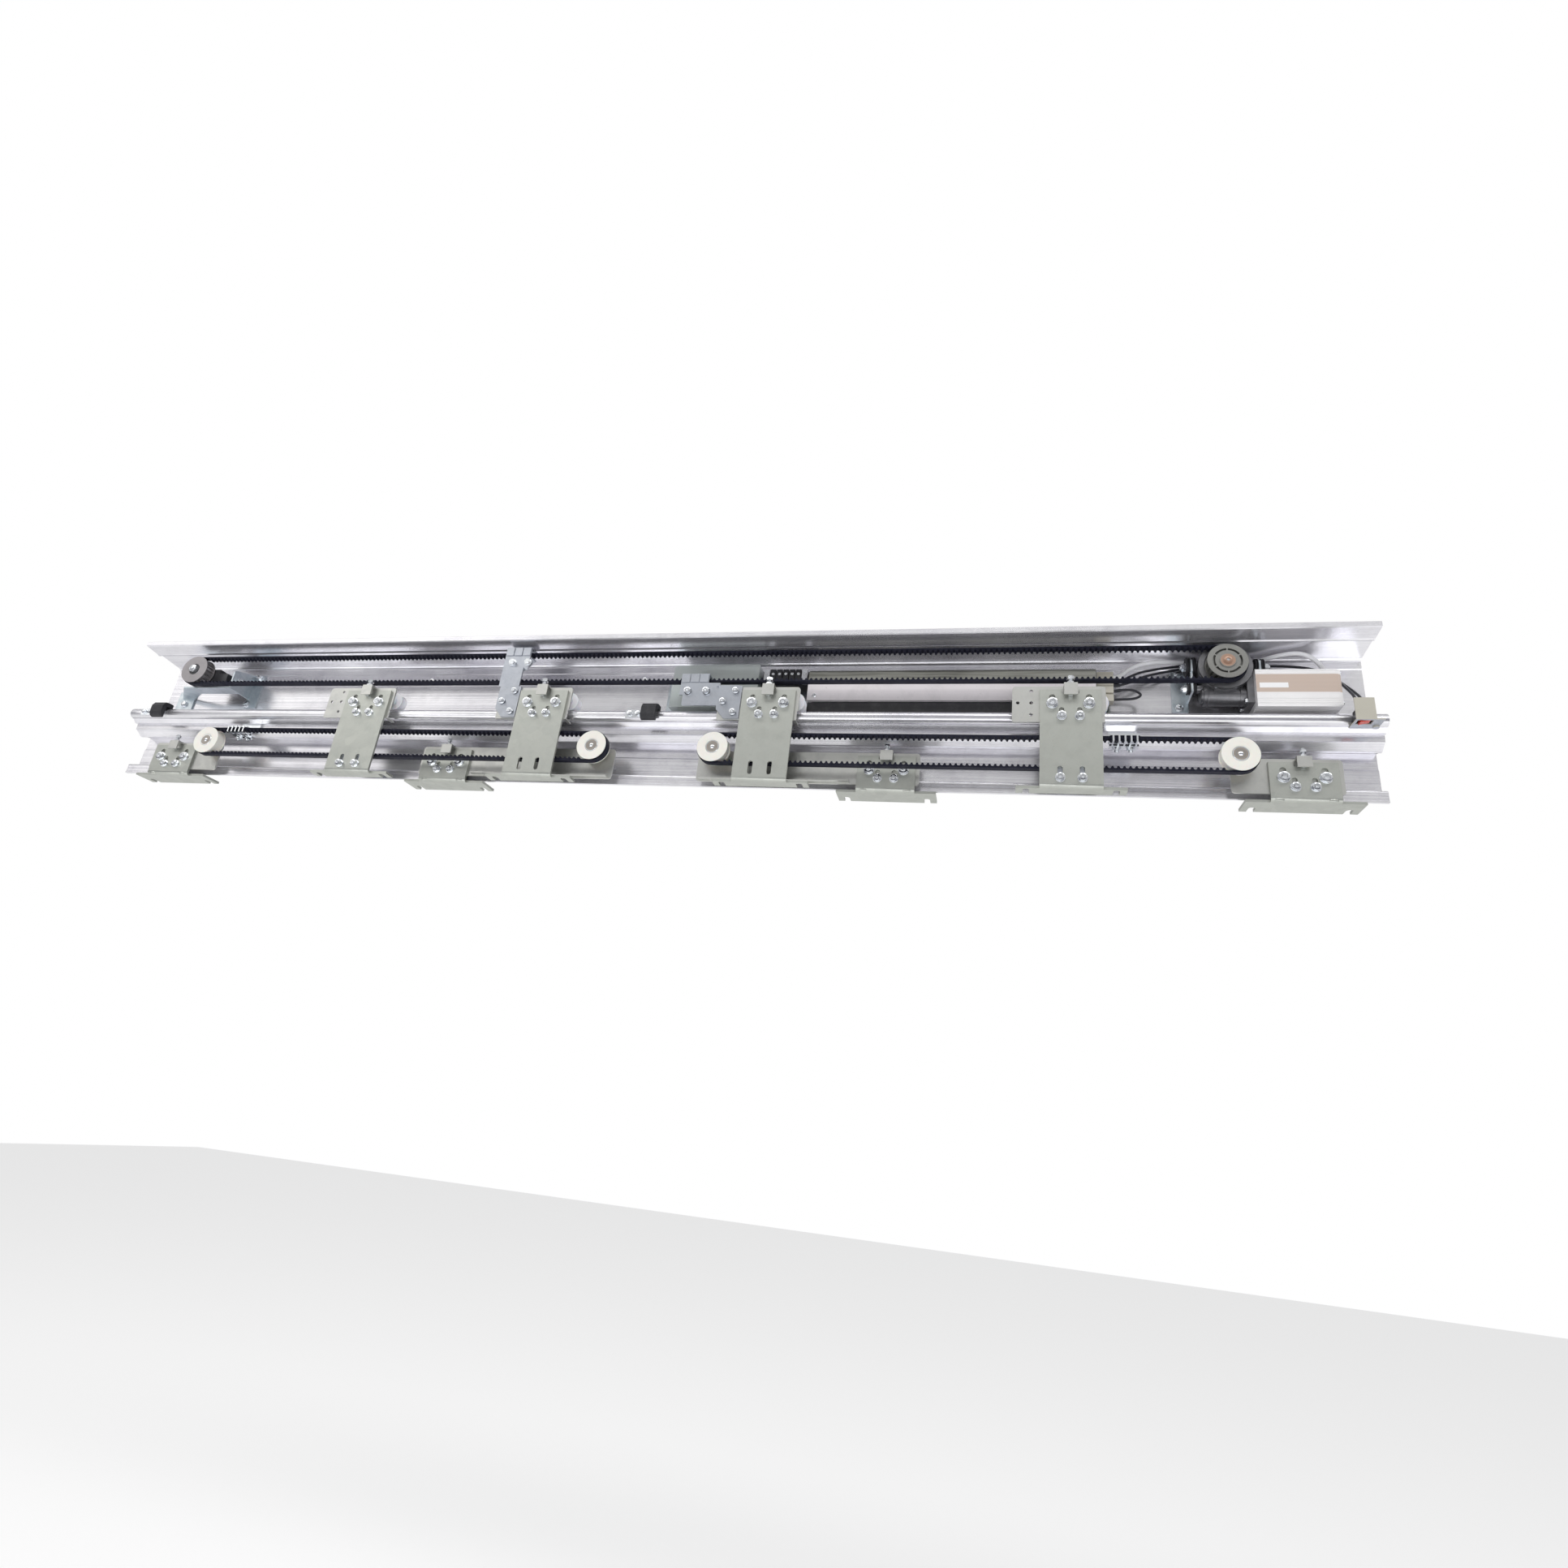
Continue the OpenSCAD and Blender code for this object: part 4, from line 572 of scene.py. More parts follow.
def zinc_metal(name, pale, dark, roughness, size=120.0, amount=0.6, mark=0.2, bump=0.04, metallic=0.95):
    """Zinc-plated steel: bloom under handling marks."""
    material, tree, sockets = finish(name, metallic)
    bloom = use(tree, zinc_bloom, Pale=pale, Dark=dark, Size=size, Amount=amount)
    worn = use(tree, marks, Colour=bloom["Colour"], Mark_colour=tuple(0.5 * c for c in dark),
               Amount=mark, Size=45.0)
    gloss = spread(tree, bloom["Mask"], roughness - 0.07, roughness + 0.14)
    join_up(tree, sockets, worn["Colour"], gloss, bloom["Height"], bump, 0.0002)
    return material


bright_zinc = zinc_metal("bright_zinc", (0.86, 0.88, 0.90), (0.62, 0.65, 0.70), 0.17, 400.0, 0.5, 0.18,
                         0.03, 1.0)
thread_zinc = zinc_metal("thread_zinc", (0.70, 0.72, 0.74), (0.40, 0.42, 0.46), 0.28, 500.0, 0.6, 0.4,
                         0.05, 1.0)

bm = bmesh.new()
for number, solid in enumerate(islands("beam_fasteners")):
    size, middle = solid["size"], solid["middle"]
    if size.x > 20 * MM:
        left = middle.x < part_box("drive_pulley")[0].x + 20 * MM
        outward = -ALONG if left else ALONG
        end = Vector((solid["low" if left else "high"].x, middle.y, middle.z))
        place = end - outward * 7.5 * MM
        washer(bm, 6.5, 1.5, 3, place - outward * 1.5 * MM, outward)
        hexagon(bm, 10, 5, place, outward, 0.4 * number, 3)
        thread(bm, 3, size.x / MM, end - outward * size.x, outward)
    elif size.y > size.z * 0.6 and size.z < 20 * MM:
        radius = size.x / MM / 4.2
        face = Vector((middle.x, solid["low"].y + (1 + radius) * MM, middle.z))
        washer(bm, 2.1 * radius, 1, radius, face, FRONT)
        hexagon(bm, 3.2 * radius, radius, face + FRONT * MM, FRONT, 0.7 * number)
        back = 3 + radius - size.y / MM
        turned(bm, [(0, 0), (radius, 0), (radius, back), (0, back)], face, FRONT, 20)
    else:
        keep_solid(bm, "beam_fasteners", solid)
piece("beam_screws", bm, [bright_zinc], "beam", "bright_zinc", ["beam_fasteners"])


# ---- Gearmotor bracket and rubber mounts ----------------------------------------------------
# Blue zinc-plated sheet bent to angles, screwed to the header. Ribbed black rubber discs on both
# sides of each flange carry the gearbox's ears and keep its noise out of the beam.

blue_zinc = zinc_metal("blue_zinc", (0.74, 0.79, 0.82), (0.48, 0.56, 0.62), 0.30, 150.0, 0.7, 0.3)
dress("motor_bracket", 0.4, blue_zinc)


def build_grain():
    """Moulded or cast grain: a fine relief and a mask for uneven gloss."""
    tree, given, result = effect("moulded_grain", {"Size": 900.0, "Unevenness": 20.0},
                                 {"Height": "Float", "Mask": "Float"})
    place = on_object(tree)
    tree.links.new(noise(tree, place, given["Size"], 3.0, 0.6), result["Height"])
    tree.links.new(noise(tree, place, given["Unevenness"], 4.0), result["Mask"])
    return tree


grain = build_grain()


def moulded(name, colour, mark_colour, roughness, size=900.0, mark=0.3, bump=0.12, metallic=0.0, **plain):
    """Moulded plastic or rubber, or painted casting: grain, uneven gloss and marks."""
    material, tree, sockets = finish(name, metallic, **plain)
    skin = use(tree, grain, Size=size)
    worn = use(tree, marks, Colour=colour, Mark_colour=mark_colour, Amount=mark, Size=55.0)
    gloss = spread(tree, skin["Mask"], roughness - 0.1, roughness + 0.12)
    join_up(tree, sockets, worn["Colour"], gloss, skin["Height"], bump, 0.0003)
    return material


black_rubber = moulded("black_rubber", (0.016, 0.016, 0.020), (0.09, 0.09, 0.10), 0.55, 1200.0, 0.35, 0.2)
bm = bmesh.new()
for solid in islands("rubber_mounts"):
    radius = solid["size"].z / MM / 2
    thick = solid["size"].x / MM
    bore, face, waist = 3.1, radius - 0.8, radius - 1.6
    ribs = [(bore, 0), (face, 0), (radius, 0.7), (radius, thick * 0.3), (waist, thick * 0.42),
            (waist, thick * 0.58), (radius, thick * 0.7), (radius, thick - 0.7), (face, thick), (bore, thick)]
    turned(bm, ribs, Vector((solid["low"].x, solid["middle"].y, solid["middle"].z)), ALONG, 48)
piece("ribbed_mounts", bm, [black_rubber], "beam", "black_rubber", ["rubber_mounts"])


# ---- Gearbox --------------------------------------------------------------------------------
# A dark painted die casting: the round wheel case, the worm tunnel below it and the square motor
# flange, with ribs, a screwed cover ring and bosses. Worm, wheel, bearings and shaft sit inside.

dark_casting = moulded("dark_casting", (0.19, 0.19, 0.20), (0.36, 0.36, 0.36), 0.34, 700.0, 0.35, 0.35, 0.82)
dress("gearbox_housing", 0.8, dark_casting)
machined_steel = drawn_metal("machined_steel", (0.62, 0.62, 0.63), (0.35, 0.35, 0.37), 0.26, 0.5, 0.2, 0.08,
                             120.0, 400.0)
worm_bronze = drawn_metal("worm_bronze", (0.72, 0.50, 0.22), (0.45, 0.30, 0.12), 0.32, 0.5, 0.3, 0.08,
                          300.0, 300.0)
coat("gearmotor_bearings", machined_steel)
coat("output_shaft", machined_steel)
coat("worm_wheel", worm_bronze)



def front_of(node):
    """The middle of a CAD node's box, on its front face."""
    low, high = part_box(node)
    return Vector(((low.x + high.x) / 2, low.y, (low.z + high.z) / 2))


case_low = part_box("gearbox_housing")[0]
shaft_front = front_of("output_shaft")
shaft_x, shaft_z = shaft_front.x, shaft_front.z
motor_low, motor_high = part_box("motor_housing")
motor_y, worm_z = (motor_low.y + motor_high.y) / 2, (motor_low.z + motor_high.z) / 2
CASE_R, SCREW_RING = 36, 33
CASE_SCREW = (1.6, 1.3, 2.6, 2.6, 3.1, 2.1)
FLANGE_SCREW = (1.2, 1.5, 3.4, 3.2, 3.5, 3)
bm = bmesh.new()
case_front = Vector((shaft_x, case_low.y, shaft_z))
turned(bm, [(29, 0), (CASE_R - 1.5, 0), (CASE_R - 0.6, -0.8), (CASE_R + 0.5, -3), (CASE_R + 0.5, -6),
            (29, -6)], case_front, WALL, 72)
turned(bm, [(13, -0.6), (20, -0.6), (20.8, 0), (20.8, 2), (13, 2)], case_front, WALL, 60)
for i in range(8):
    a = math.pi * (i + 0.5) / 4
    spot = case_front + Vector((math.cos(a), 0, math.sin(a))) * SCREW_RING * MM
    turned(bm, [(0, 0.6), (4.3, 0.6), (4.6, 0), (4.6, -5), (0, -5)], spot, FRONT, 24)
    socket_head(bm, CASE_SCREW, spot, FRONT, 1)
# Rims at the worm tunnel's ends, its end cap, and webs up to the wheel case
TUNNEL_R, RIMS, WEBS, WEB_HALF = 14.5, (-22, 21), (-17, -6, 6, 17), 1.2
tunnel = Vector((shaft_x, motor_y, worm_z))
for x in RIMS:
    turned(bm, [(TUNNEL_R - 2, -1.2), (TUNNEL_R + 1.2, -0.9), (TUNNEL_R + 1.2, 0.9), (TUNNEL_R - 2, 1.2)],
           tunnel + ALONG * x * MM, ALONG, 56)
turned(bm, [(0, -32), (9, -32), (10.5, -31), (10.5, -28), (12.5, -28), (13.4, -27), (13.4, -24), (0, -24)],
       tunnel, ALONG, 48)
for x in WEBS:
    block(bm, (shaft_x + (x - WEB_HALF) * MM, case_low.y + 4 * MM, worm_z + 6 * MM),
          (shaft_x + (x + WEB_HALF) * MM, motor_y, shaft_z - 24 * MM), 0.6)
block(bm, tunnel + Vector((-15, -16.2, 1)) * MM, tunnel + Vector((15, -8, 5)) * MM, 0.8)
# Screws of the motor flange
for dy in (-14, 14):
    for dz in (-14, 22):
        spot = Vector((motor_low.x - 9 * MM, motor_y + dy * MM, worm_z + dz * MM))
        socket_head(bm, FLANGE_SCREW, spot, -ALONG, 1)
piece("gearbox_casting_details", bm, [dark_casting, bright_zinc], "beam", "dark_casting")


# ---- Motor ----------------------------------------------------------------------------------
# A square aluminium extrusion with a satin pale skin and a tinted band along its front, fine
# grooves near its edges, a screwed end plate, and a bare label. Windings and rotor sit inside.

# The tinted band's lower and upper edge, from the worm's axis
BAND = (-8, 20.5)


def motor_skin():
    """Pale extrusion whose front carries a broad rose-beige band."""
    material, tree, sockets = finish("motor_skin", 0.35)
    level = add(tree, "SeparateXYZ", _0=on_object(tree)).outputs["Z"]
    facing = add(tree, "SeparateXYZ", _0=add(tree, "NewGeometry").outputs["Normal"]).outputs["Y"]
    above = maths(tree, "GREATER_THAN", level, worm_z + BAND[0] * MM)
    below = maths(tree, "LESS_THAN", level, worm_z + BAND[1] * MM)
    band = maths(tree, "MULTIPLY", above, below)
    shown = maths(tree, "MULTIPLY", band, maths(tree, "LESS_THAN", facing, -0.9))
    lines = use(tree, drawn_lines, Colour=(0.93, 0.92, 0.92), Line_colour=(0.74, 0.73, 0.74), Amount=0.5)
    beige = use(tree, drawn_lines, Colour=(0.60, 0.49, 0.42), Line_colour=(0.52, 0.42, 0.36), Amount=0.5)
    worn = use(tree, marks, Colour=blend(tree, shown, lines["Colour"], beige["Colour"]),
               Mark_colour=grey(0.45), Amount=0.10)
    gloss = spread(tree, lines["Height"], 0.30, 0.42)
    join_up(tree, sockets, worn["Colour"], gloss, lines["Height"], 0.08, 0.0002)
    return material


dress("motor_housing", 0.4, motor_skin())
copper = drawn_metal("enamelled_copper", (0.62, 0.25, 0.10), (0.35, 0.12, 0.05), 0.3, 0.7, 0.2, 0.3,
                     900.0, 60.0)
coat("motor_windings", copper)
coat("motor_rotor", machined_steel)

blank_paper = moulded("blank_label", (0.86, 0.86, 0.87), (0.70, 0.70, 0.70), 0.45, 400.0, 0.15, 0.05)
label_place, _ = place_on([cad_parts["motor_housing"]], POINTS["motor_label"])
LABEL = (18.5, 4)
bm = bmesh.new()
block(bm, label_place - Vector((LABEL[0], 0.15, LABEL[1])) * MM,
      label_place + Vector((LABEL[0], 0.4, LABEL[1])) * MM, 0.1)
piece("bare_motor_label", bm, [blank_paper], "beam", "pale_extrusion")
END_SCREW, SCREW_SPAN = (0.9, 1.2, 2.2, 2.9, 3.2, 1.8), (-23, 23)
bm = bmesh.new()
for dy in SCREW_SPAN:
    for dz in SCREW_SPAN:
        spot = Vector((motor_high.x - 0.3 * MM, motor_y + dy * MM, worm_z + dz * MM))
        socket_head(bm, END_SCREW, spot, ALONG)
piece("motor_end_screws", bm, [bright_zinc], "beam", "bright_zinc")


# ---- Drive pulley and idler pulley ----------------------------------------------------------
# Turned and hobbed aluminium, dark anodised grey-green. The drive pulley's front flange has six
# curved slots round a copper-brown hub nut; the idler's flange is plain, with a hexagon axle bolt.



def turned_metal(name, colour, line_colour, roughness, amount, mark, metallic):
    """Turned metal: fine even lines that hardly show in its relief."""
    return drawn_metal(name, colour, line_colour, roughness, amount, mark, 0.05, 300.0, 300.0, metallic)


pulley_grey = turned_metal("pulley_grey", (0.27, 0.27, 0.255), (0.19, 0.19, 0.18), 0.36, 0.4, 0.25, 0.75)
idler_grey = turned_metal("idler_grey", (0.36, 0.34, 0.35), (0.26, 0.25, 0.26), 0.36, 0.4, 0.3, 0.7)
hub_brown = turned_metal("hub_brown", (0.42, 0.27, 0.20), (0.30, 0.20, 0.15), 0.36, 0.5, 0.3, 0.6)
dress("drive_pulley", 0.25, pulley_grey, (hub_brown, lambda face, solid: solid["size"].y < 2 * MM), angle=40)
dress("idler_pulley", 0.25, idler_grey, angle=40)
pulley_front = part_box("drive_pulley")[0].y
bm = bmesh.new()
turned(bm, [(3.2, 0.1), (9.8, 0.1), (10.2, -0.2), (10.2, -0.9), (3.2, -0.9)],
       Vector((shaft_x, pulley_front, shaft_z)), FRONT, 48)
turned(bm, [(0, -0.4), (2.4, -0.4), (2.4, 1.0), (4.3, 1.0), (5.3, 0.5), (5.3, -0.3), (6.6, -0.3),
            (6.6, -1), (0, -1)], shaft_front, FRONT, 40)
piece("drive_hub_nut", bm, [hub_brown], "drive_train", "grey_pulley")


# ---- Idler bracket and belt tensioner -------------------------------------------------------
# A blue zinc angle with a shelf and gusset holds a black plastic slide; a long bolt through the
# gusset pulls the slide and with it the idler's axle, which keeps the main belt tight.

dress("idler_bracket", 0.4, blue_zinc)
black_plastic = moulded("black_plastic", (0.022, 0.022, 0.026), (0.12, 0.12, 0.12), 0.38, 800.0, 0.3, 0.12)
bm = bmesh.new()
for solid in islands("belt_tensioner"):
    keep_solid(bm, "belt_tensioner", solid, 0 if solid["size"].z > 30 * MM else 1)
idler_place = front_of("idler_pulley")
idler_place.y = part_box("belt_tensioner")[0].y
head_seat = idler_place - FRONT * 4 * MM
hexagon(bm, 13.6, 4.2, head_seat, FRONT, 0.35, 0, 1)
turned(bm, [(0, 0.9), (3.2, 0.9), (4.6, 0.2), (4.6, -0.5), (0, -0.5)], idler_place, FRONT, 30, 1)
washer(bm, 10.5, 1.0, 5, head_seat + WALL * MM, FRONT)
piece("tensioner_and_axle", bm, [black_plastic, bright_zinc], "beam", "black_plastic", ["belt_tensioner"])


# ---- Toothed belts --------------------------------------------------------------------------
# Black rubber belts on an 8 mm pitch. The bites between the teeth are round, and the back is smooth
# and slightly glossy; the fabric facing on the teeth is not drawn.

def belt_rubber():
    """Blue-black rubber with fine lines along the belt and dusty wear."""
    material, tree, sockets = finish("belt_rubber", 0.0, Specular_IOR_Level=0.10)
    lines = use(tree, drawn_lines, Colour=(0.008, 0.009, 0.018), Line_colour=(0.022, 0.022, 0.036),
                Amount=0.5, Along=4.0, Across=1500.0)
    worn = use(tree, marks, Colour=lines["Colour"], Mark_colour=(0.07, 0.07, 0.09), Amount=0.22, Size=60.0)
    gloss = spread(tree, lines["Height"], 0.38, 0.6)
    join_up(tree, sockets, worn["Colour"], gloss, lines["Height"], 0.25, 0.0002)
    return material


belt_finish = belt_rubber()
PITCH, BELT_BACK, TOOTH, BITE, SIDE_GAP = 8, 2.6, 3.4, 2.75, 0.35


def toothed_belt(name, node, body):
    """One loop round two equal pulleys, its teeth on both straight runs."""
    low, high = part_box(node)
    outer = (high.z - low.z) / 2 / MM
    inner = outer - BELT_BACK
    xa, xb, z = low.x / MM + outer, high.x / MM - outer, (low.z + high.z) / 2 / MM
    count = math.floor((xb - xa - 30) / PITCH)
    first = (xb - xa - count * PITCH) / 2
    run = [(0.0, 0.0)]
    for i in range(count + 1):
        middle = first + i * PITCH
        for k in range(-5, 6):
            u = k / 5
            depth = TOOTH * (1 - math.sqrt(max(0.0, 1 - abs(u) ** 2.3)))
            run.append((middle + BITE * u, depth if 0 < i < count or (u > 0) == (i == 0) else 0.0))
    run.append((xb - xa, 0.0))
    arc = [math.radians(a) for a in range(-84, 90, 6)]
    bend = [(inner * math.cos(a), inner * math.sin(a)) for a in arc]
    inside = [(xa + x, -inner + d) for x, d in run] + [(xb + x, h) for x, h in bend]
    inside += [(xb - x, inner - d) for x, d in run] + [(xa - x, -h) for x, h in bend]
    back = []
    for x, h in inside:
        if x > xb or x < xa:
            centre = xb if x > xb else xa
            back.append((centre + (x - centre) * outer / inner, h * outer / inner))
        else:
            back.append((x, -outer if h < 0 else outer))
    bm = bmesh.new()
    near, far = low.y / MM + SIDE_GAP, high.y / MM - SIDE_GAP
    loops = [[bm.verts.new((x * MM, y * MM, (z + h) * MM)) for x, h in outline]
             for outline, y in ((inside, far), (inside, near), (back, near), (back, far))]
    for a, b in zip(loops, loops[1:] + loops[:1]):
        for i in range(len(a)):
            j = (i + 1) % len(a)
            bm.faces.new((a[i], a[j], b[j], b[i]))
    piece(name, bm, [belt_finish], body, "black_rubber", [node], 40)


toothed_belt("main_belt", "upper_belt", "beam")
toothed_belt("telescope_belt_left", "lower_belt_left", "slow_left")
toothed_belt("telescope_belt_right", "lower_belt_right", "slow_right")


# ---- Fast carriages -------------------------------------------------------------------------
# Bent galvanised hangers with a roller plate behind each, white nylon rollers on the round
# track, clamps that grip the belts, and slotted bolts that set the door's height.

# Sheet: soft greenish grey with faint bloom, barely mirroring
galvanised = zinc_metal("galvanised_sheet", (0.52, 0.535, 0.49), (0.40, 0.415, 0.39), 0.36, 70.0, 0.55,
                        0.16, 0.03, 0.82)
plate_zinc = zinc_metal("plate_zinc", (0.62, 0.62, 0.585), (0.47, 0.48, 0.47), 0.32, 90.0, 0.6, 0.2,
                        0.03, 0.85)
clamp_zinc = zinc_metal("clamp_zinc", (0.50, 0.52, 0.56), (0.34, 0.37, 0.42), 0.30, 140.0, 0.6, 0.25,
                        0.03, 0.9)
white_nylon = moulded("white_nylon", (0.86, 0.86, 0.90), (0.60, 0.60, 0.62), 0.34, 500.0, 0.12, 0.04,
                      Subsurface_Weight=0.15, Subsurface_Scale=0.004)


# Washer radius from which a stack has this shank radius and width across flats
STACKS = ((8, (4, 13)), (6.2, (3, 10)), (0, (2.5, 8)))


def front_stack(bm, solid, face_y, number):
    """Washer, nut and thread end in front of a plate, and the round head behind it."""
    face = Vector((solid["middle"].x, face_y, solid["middle"].z))
    radius = solid["size"].x / MM / 2
    shank, across = next(sizes for least, sizes in STACKS if radius >= least)
    depth = (face_y - solid["low"].y) / MM - 2.2
    washer(bm, radius, 1.5, shank, face, FRONT)
    seat, flange = face + FRONT * 1.5 * MM, across * 0.56
    hexagon(bm, across, depth, seat, FRONT, 0.9 * number, shank)
    turned(bm, [(shank, 0), (flange, 0), (flange, 0.9), (shank, 0.9)], seat, FRONT, 40)
    thread(bm, shank, depth + 2.9, face + FRONT * 0.4 * MM, FRONT, 1.0, 1)
    behind = (solid["high"].y - face_y) / MM
    turned(bm, [(0, 0), (shank, 0), (shank, -behind + 2.5), (shank + 3, -behind + 2.2),
                (shank + 2.4, -behind), (0, -behind)], face, FRONT, 28)


def adjuster_bolt(bm, solid, number):
    """The upright bolt on a carriage's tab: thread, lock nut, flanged head and round end."""
    shank, head = (3, 5) if solid["size"].x > 10.5 * MM else (2.5, 4)
    across = solid["size"].y / MM - 0.5
    foot = Vector((solid["middle"].x, solid["middle"].y, solid["low"].z))
    tall = solid["size"].z / MM
    base = tall - 6
    thread(bm, shank, tall, foot, UP, 1.0, 1)
    hexagon(bm, across, 3, foot + UP * (base - 7) * MM, UP, 0.5 + number, shank)
    washer(bm, min(across * 0.62, 5.4), 1.0, shank, foot + UP * (base - 0.2) * MM, UP)
    hexagon(bm, across, head - 0.6, foot + UP * (base + 0.6) * MM, UP, 0.8 * number, shank)


def axle_cap(bm, solid):
    """A telescope pulley's axle: flat beige cap with a bright rim, and its riveted dome."""
    front = Vector((solid["middle"].x, solid["low"].y, solid["middle"].z))
    deep = solid["size"].y / MM
    turned(bm, [(0, 0.2), (2.2, 0.6), (3.4, 1.6), (3.6, 2.6), (0, 2.6)], front, WALL, 40)
    turned(bm, [(3.6, 2.2), (8.8, 2.2), (9.2, 2.5), (9.2, 3.4), (3.6, 3.4)], front, WALL, 56, 2)
    turned(bm, [(9.2, 2.0), (10.2, 2.0), (10.6, 2.4), (10.6, 3.4), (9.2, 3.4)], front, WALL, 56)
    turned(bm, [(0, 3.4), (5, 3.4), (5, deep), (0, deep)], front, WALL, 40)


def carriage_hardware(name, node, body, face_y, link_y):
    """All bolts of a pair of carriages, from the solids that the CAD frame has for them."""
    bm = bmesh.new()
    for number, solid in enumerate(islands(node)):
        size = solid["size"]
        if "slow" in node and abs(solid["middle"].z - pulley_axis.z) < MM:
            axle_cap(bm, solid)
        elif size.z > size.y * 1.6 and size.x < ADJUSTER_WIDE:
            adjuster_bolt(bm, solid, number)
        elif solid["low"].y < face_y - 5 * MM:
            front_stack(bm, solid, face_y, number)
        elif solid["low"].y < link_y - 4 * MM and size.x < 14.5 * MM:
            front_stack(bm, solid, solid["low"].y + (7.7 if size.x > 12 * MM else 6.2) * MM, number)
        else:
            keep_solid(bm, node, solid)
    piece(name, bm, [bright_zinc, thread_zinc, cap_beige], body, "bright_zinc", [node])


cap_beige = turned_metal("cap_beige", (0.42, 0.37, 0.32), (0.30, 0.27, 0.24), 0.34, 0.4, 0.3, 0.6)
ADJUSTER_WIDE = 13 * MM
pulley_axis = front_of("tele_pulley_1")
fast_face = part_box("fast_left_hangers")[0].y
slow_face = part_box("slow_left_hangers")[0].y
PLATE = 4
for side in ("left", "right"):
    body = "fast_" + side
    dress(body + "_hangers", 0.5, galvanised)
    dress(body + "_roller_plates", 0.4, plate_zinc)
    dress(body + "_clamps", 0.4, clamp_zinc)
    carriage_hardware(body + "_bolts", body + "_fasteners", body, fast_face, fast_face + PLATE * MM)
for number in range(1, 9):
    dress("fast_roller_%d" % number, 0.5, white_nylon)


# ---- Slow carriages -------------------------------------------------------------------------
# Shorter hangers on the lower rail, each with two beads pressed into its bend to stiffen it, and
# a long plate behind that carries a telescope pulley: white plastic on a shielded ball bearing.

ivory_plastic = moulded("ivory_plastic", (0.84, 0.82, 0.76), (0.62, 0.56, 0.48), 0.30, 500.0, 0.14, 0.04,
                        Subsurface_Weight=0.15, Subsurface_Scale=0.004)
bearing_steel = turned_metal("bearing_steel", (0.40, 0.38, 0.36), (0.25, 0.24, 0.23), 0.30, 0.4, 0.3, 0.9)
shield_brown = moulded("bearing_shield", (0.16, 0.13, 0.10), (0.30, 0.27, 0.22), 0.35, 600.0, 0.3, 0.06, 0.5)

BEADS, BEAD_SHAPE = (-33, 33), (7.5 * MM, 4.6 * MM, 3.2 * MM, 1)
for side in ("left", "right"):
    body = "slow_" + side
    dress(body + "_hangers", 0.5, galvanised)
    dress(body + "_pulley_plates", 0.4, plate_zinc)
    carriage_hardware(body + "_bolts", body + "_fasteners", body, slow_face, slow_face + PLATE * MM)
    bm = bmesh.new()
    for solid in islands(body + "_hangers"):
        for dx in BEADS:
            middle = Vector((solid["middle"].x + dx * MM, slow_face + 3.4 * MM, solid["low"].z + 4 * MM))
            shape = (Matrix.Translation(middle) @ Matrix.Rotation(math.radians(45), 4, "X")
                     @ Matrix.Diagonal(BEAD_SHAPE))
            bmesh.ops.create_uvsphere(bm, u_segments=28, v_segments=14, radius=1, matrix=shape)
    piece(body + "_pressed_beads", bm, [galvanised], body, "zinc_plate")
for number in range(1, 5):
    dress("slow_roller_%d" % number, 0.5, white_nylon)
    node = "tele_pulley_%d" % number
    low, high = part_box(node)
    disc = (high.z - low.z) / 2 / MM
    wide = (high.y - low.y) / MM
    drum = disc - 1.99
    front = front_of(node)
    bm = bmesh.new()
    turned(bm, [(11, 0.9), (12.0, 0.25), (13.5, 0), (disc - 0.6, 0), (disc, 0.5), (disc, 1.1),
                (disc - 0.3, 1.5), (drum, 1.5), (drum, wide - 1.5), (disc - 0.3, wide - 1.5),
                (disc, wide - 1.1), (disc, wide - 0.5), (disc - 0.6, wide), (11, wide)], front, WALL, 72)
    turned(bm, [(9.4, 0.9), (10.9, 0.9), (11.05, 1.2), (11.05, wide - 1), (9.4, wide - 1)],
           front, WALL, 60, 1)
    turned(bm, [(6.9, 1.3), (9.5, 1.3), (9.5, 2.5), (6.9, 2.5)], front, WALL, 60, 2)
    turned(bm, [(5.1, 0.6), (6.8, 0.6), (7.0, 0.8), (7.0, wide - 1), (5.1, wide - 1)], front, WALL, 48, 1)
    piece("telescope_pulley_%d" % number, bm, [ivory_plastic, bearing_steel, shield_brown],
          "telescope_pulley_%d" % number, "ivory_plastic", [node])


# ---- End stops and belt anchors -------------------------------------------------------------
# Black rubber buffers clipped on the running track stop the carriages; two combs with five thin
# fingers tie the telescope belts' upper runs to the beam.

dress("stop_clips", 0.3, bright_zinc)
dress("stop_bumpers", 1.2, black_rubber)
dress("belt_anchors", 0.3, bright_zinc)


# ---- Power supply and terminals -------------------------------------------------------------
# An open-frame supply under a clear cover: green board, dark finned heat sink, cans and coils.
# Beside it a rail with terminal blocks joins it to the controller.

def clear_plastic():
    """Clear cover, a little smoky, seen through where it stands before the board."""
    material, tree, sockets = finish("clear_plastic", 0.0, 0.12, Alpha=0.42)
    worn = use(tree, marks, Colour=(0.80, 0.86, 0.84), Mark_colour=grey(0.7), Amount=0.25, Size=40.0)
    join_up(tree, sockets, worn["Colour"], spread(tree, worn["Mask"], 0.08, 0.22))
    return material


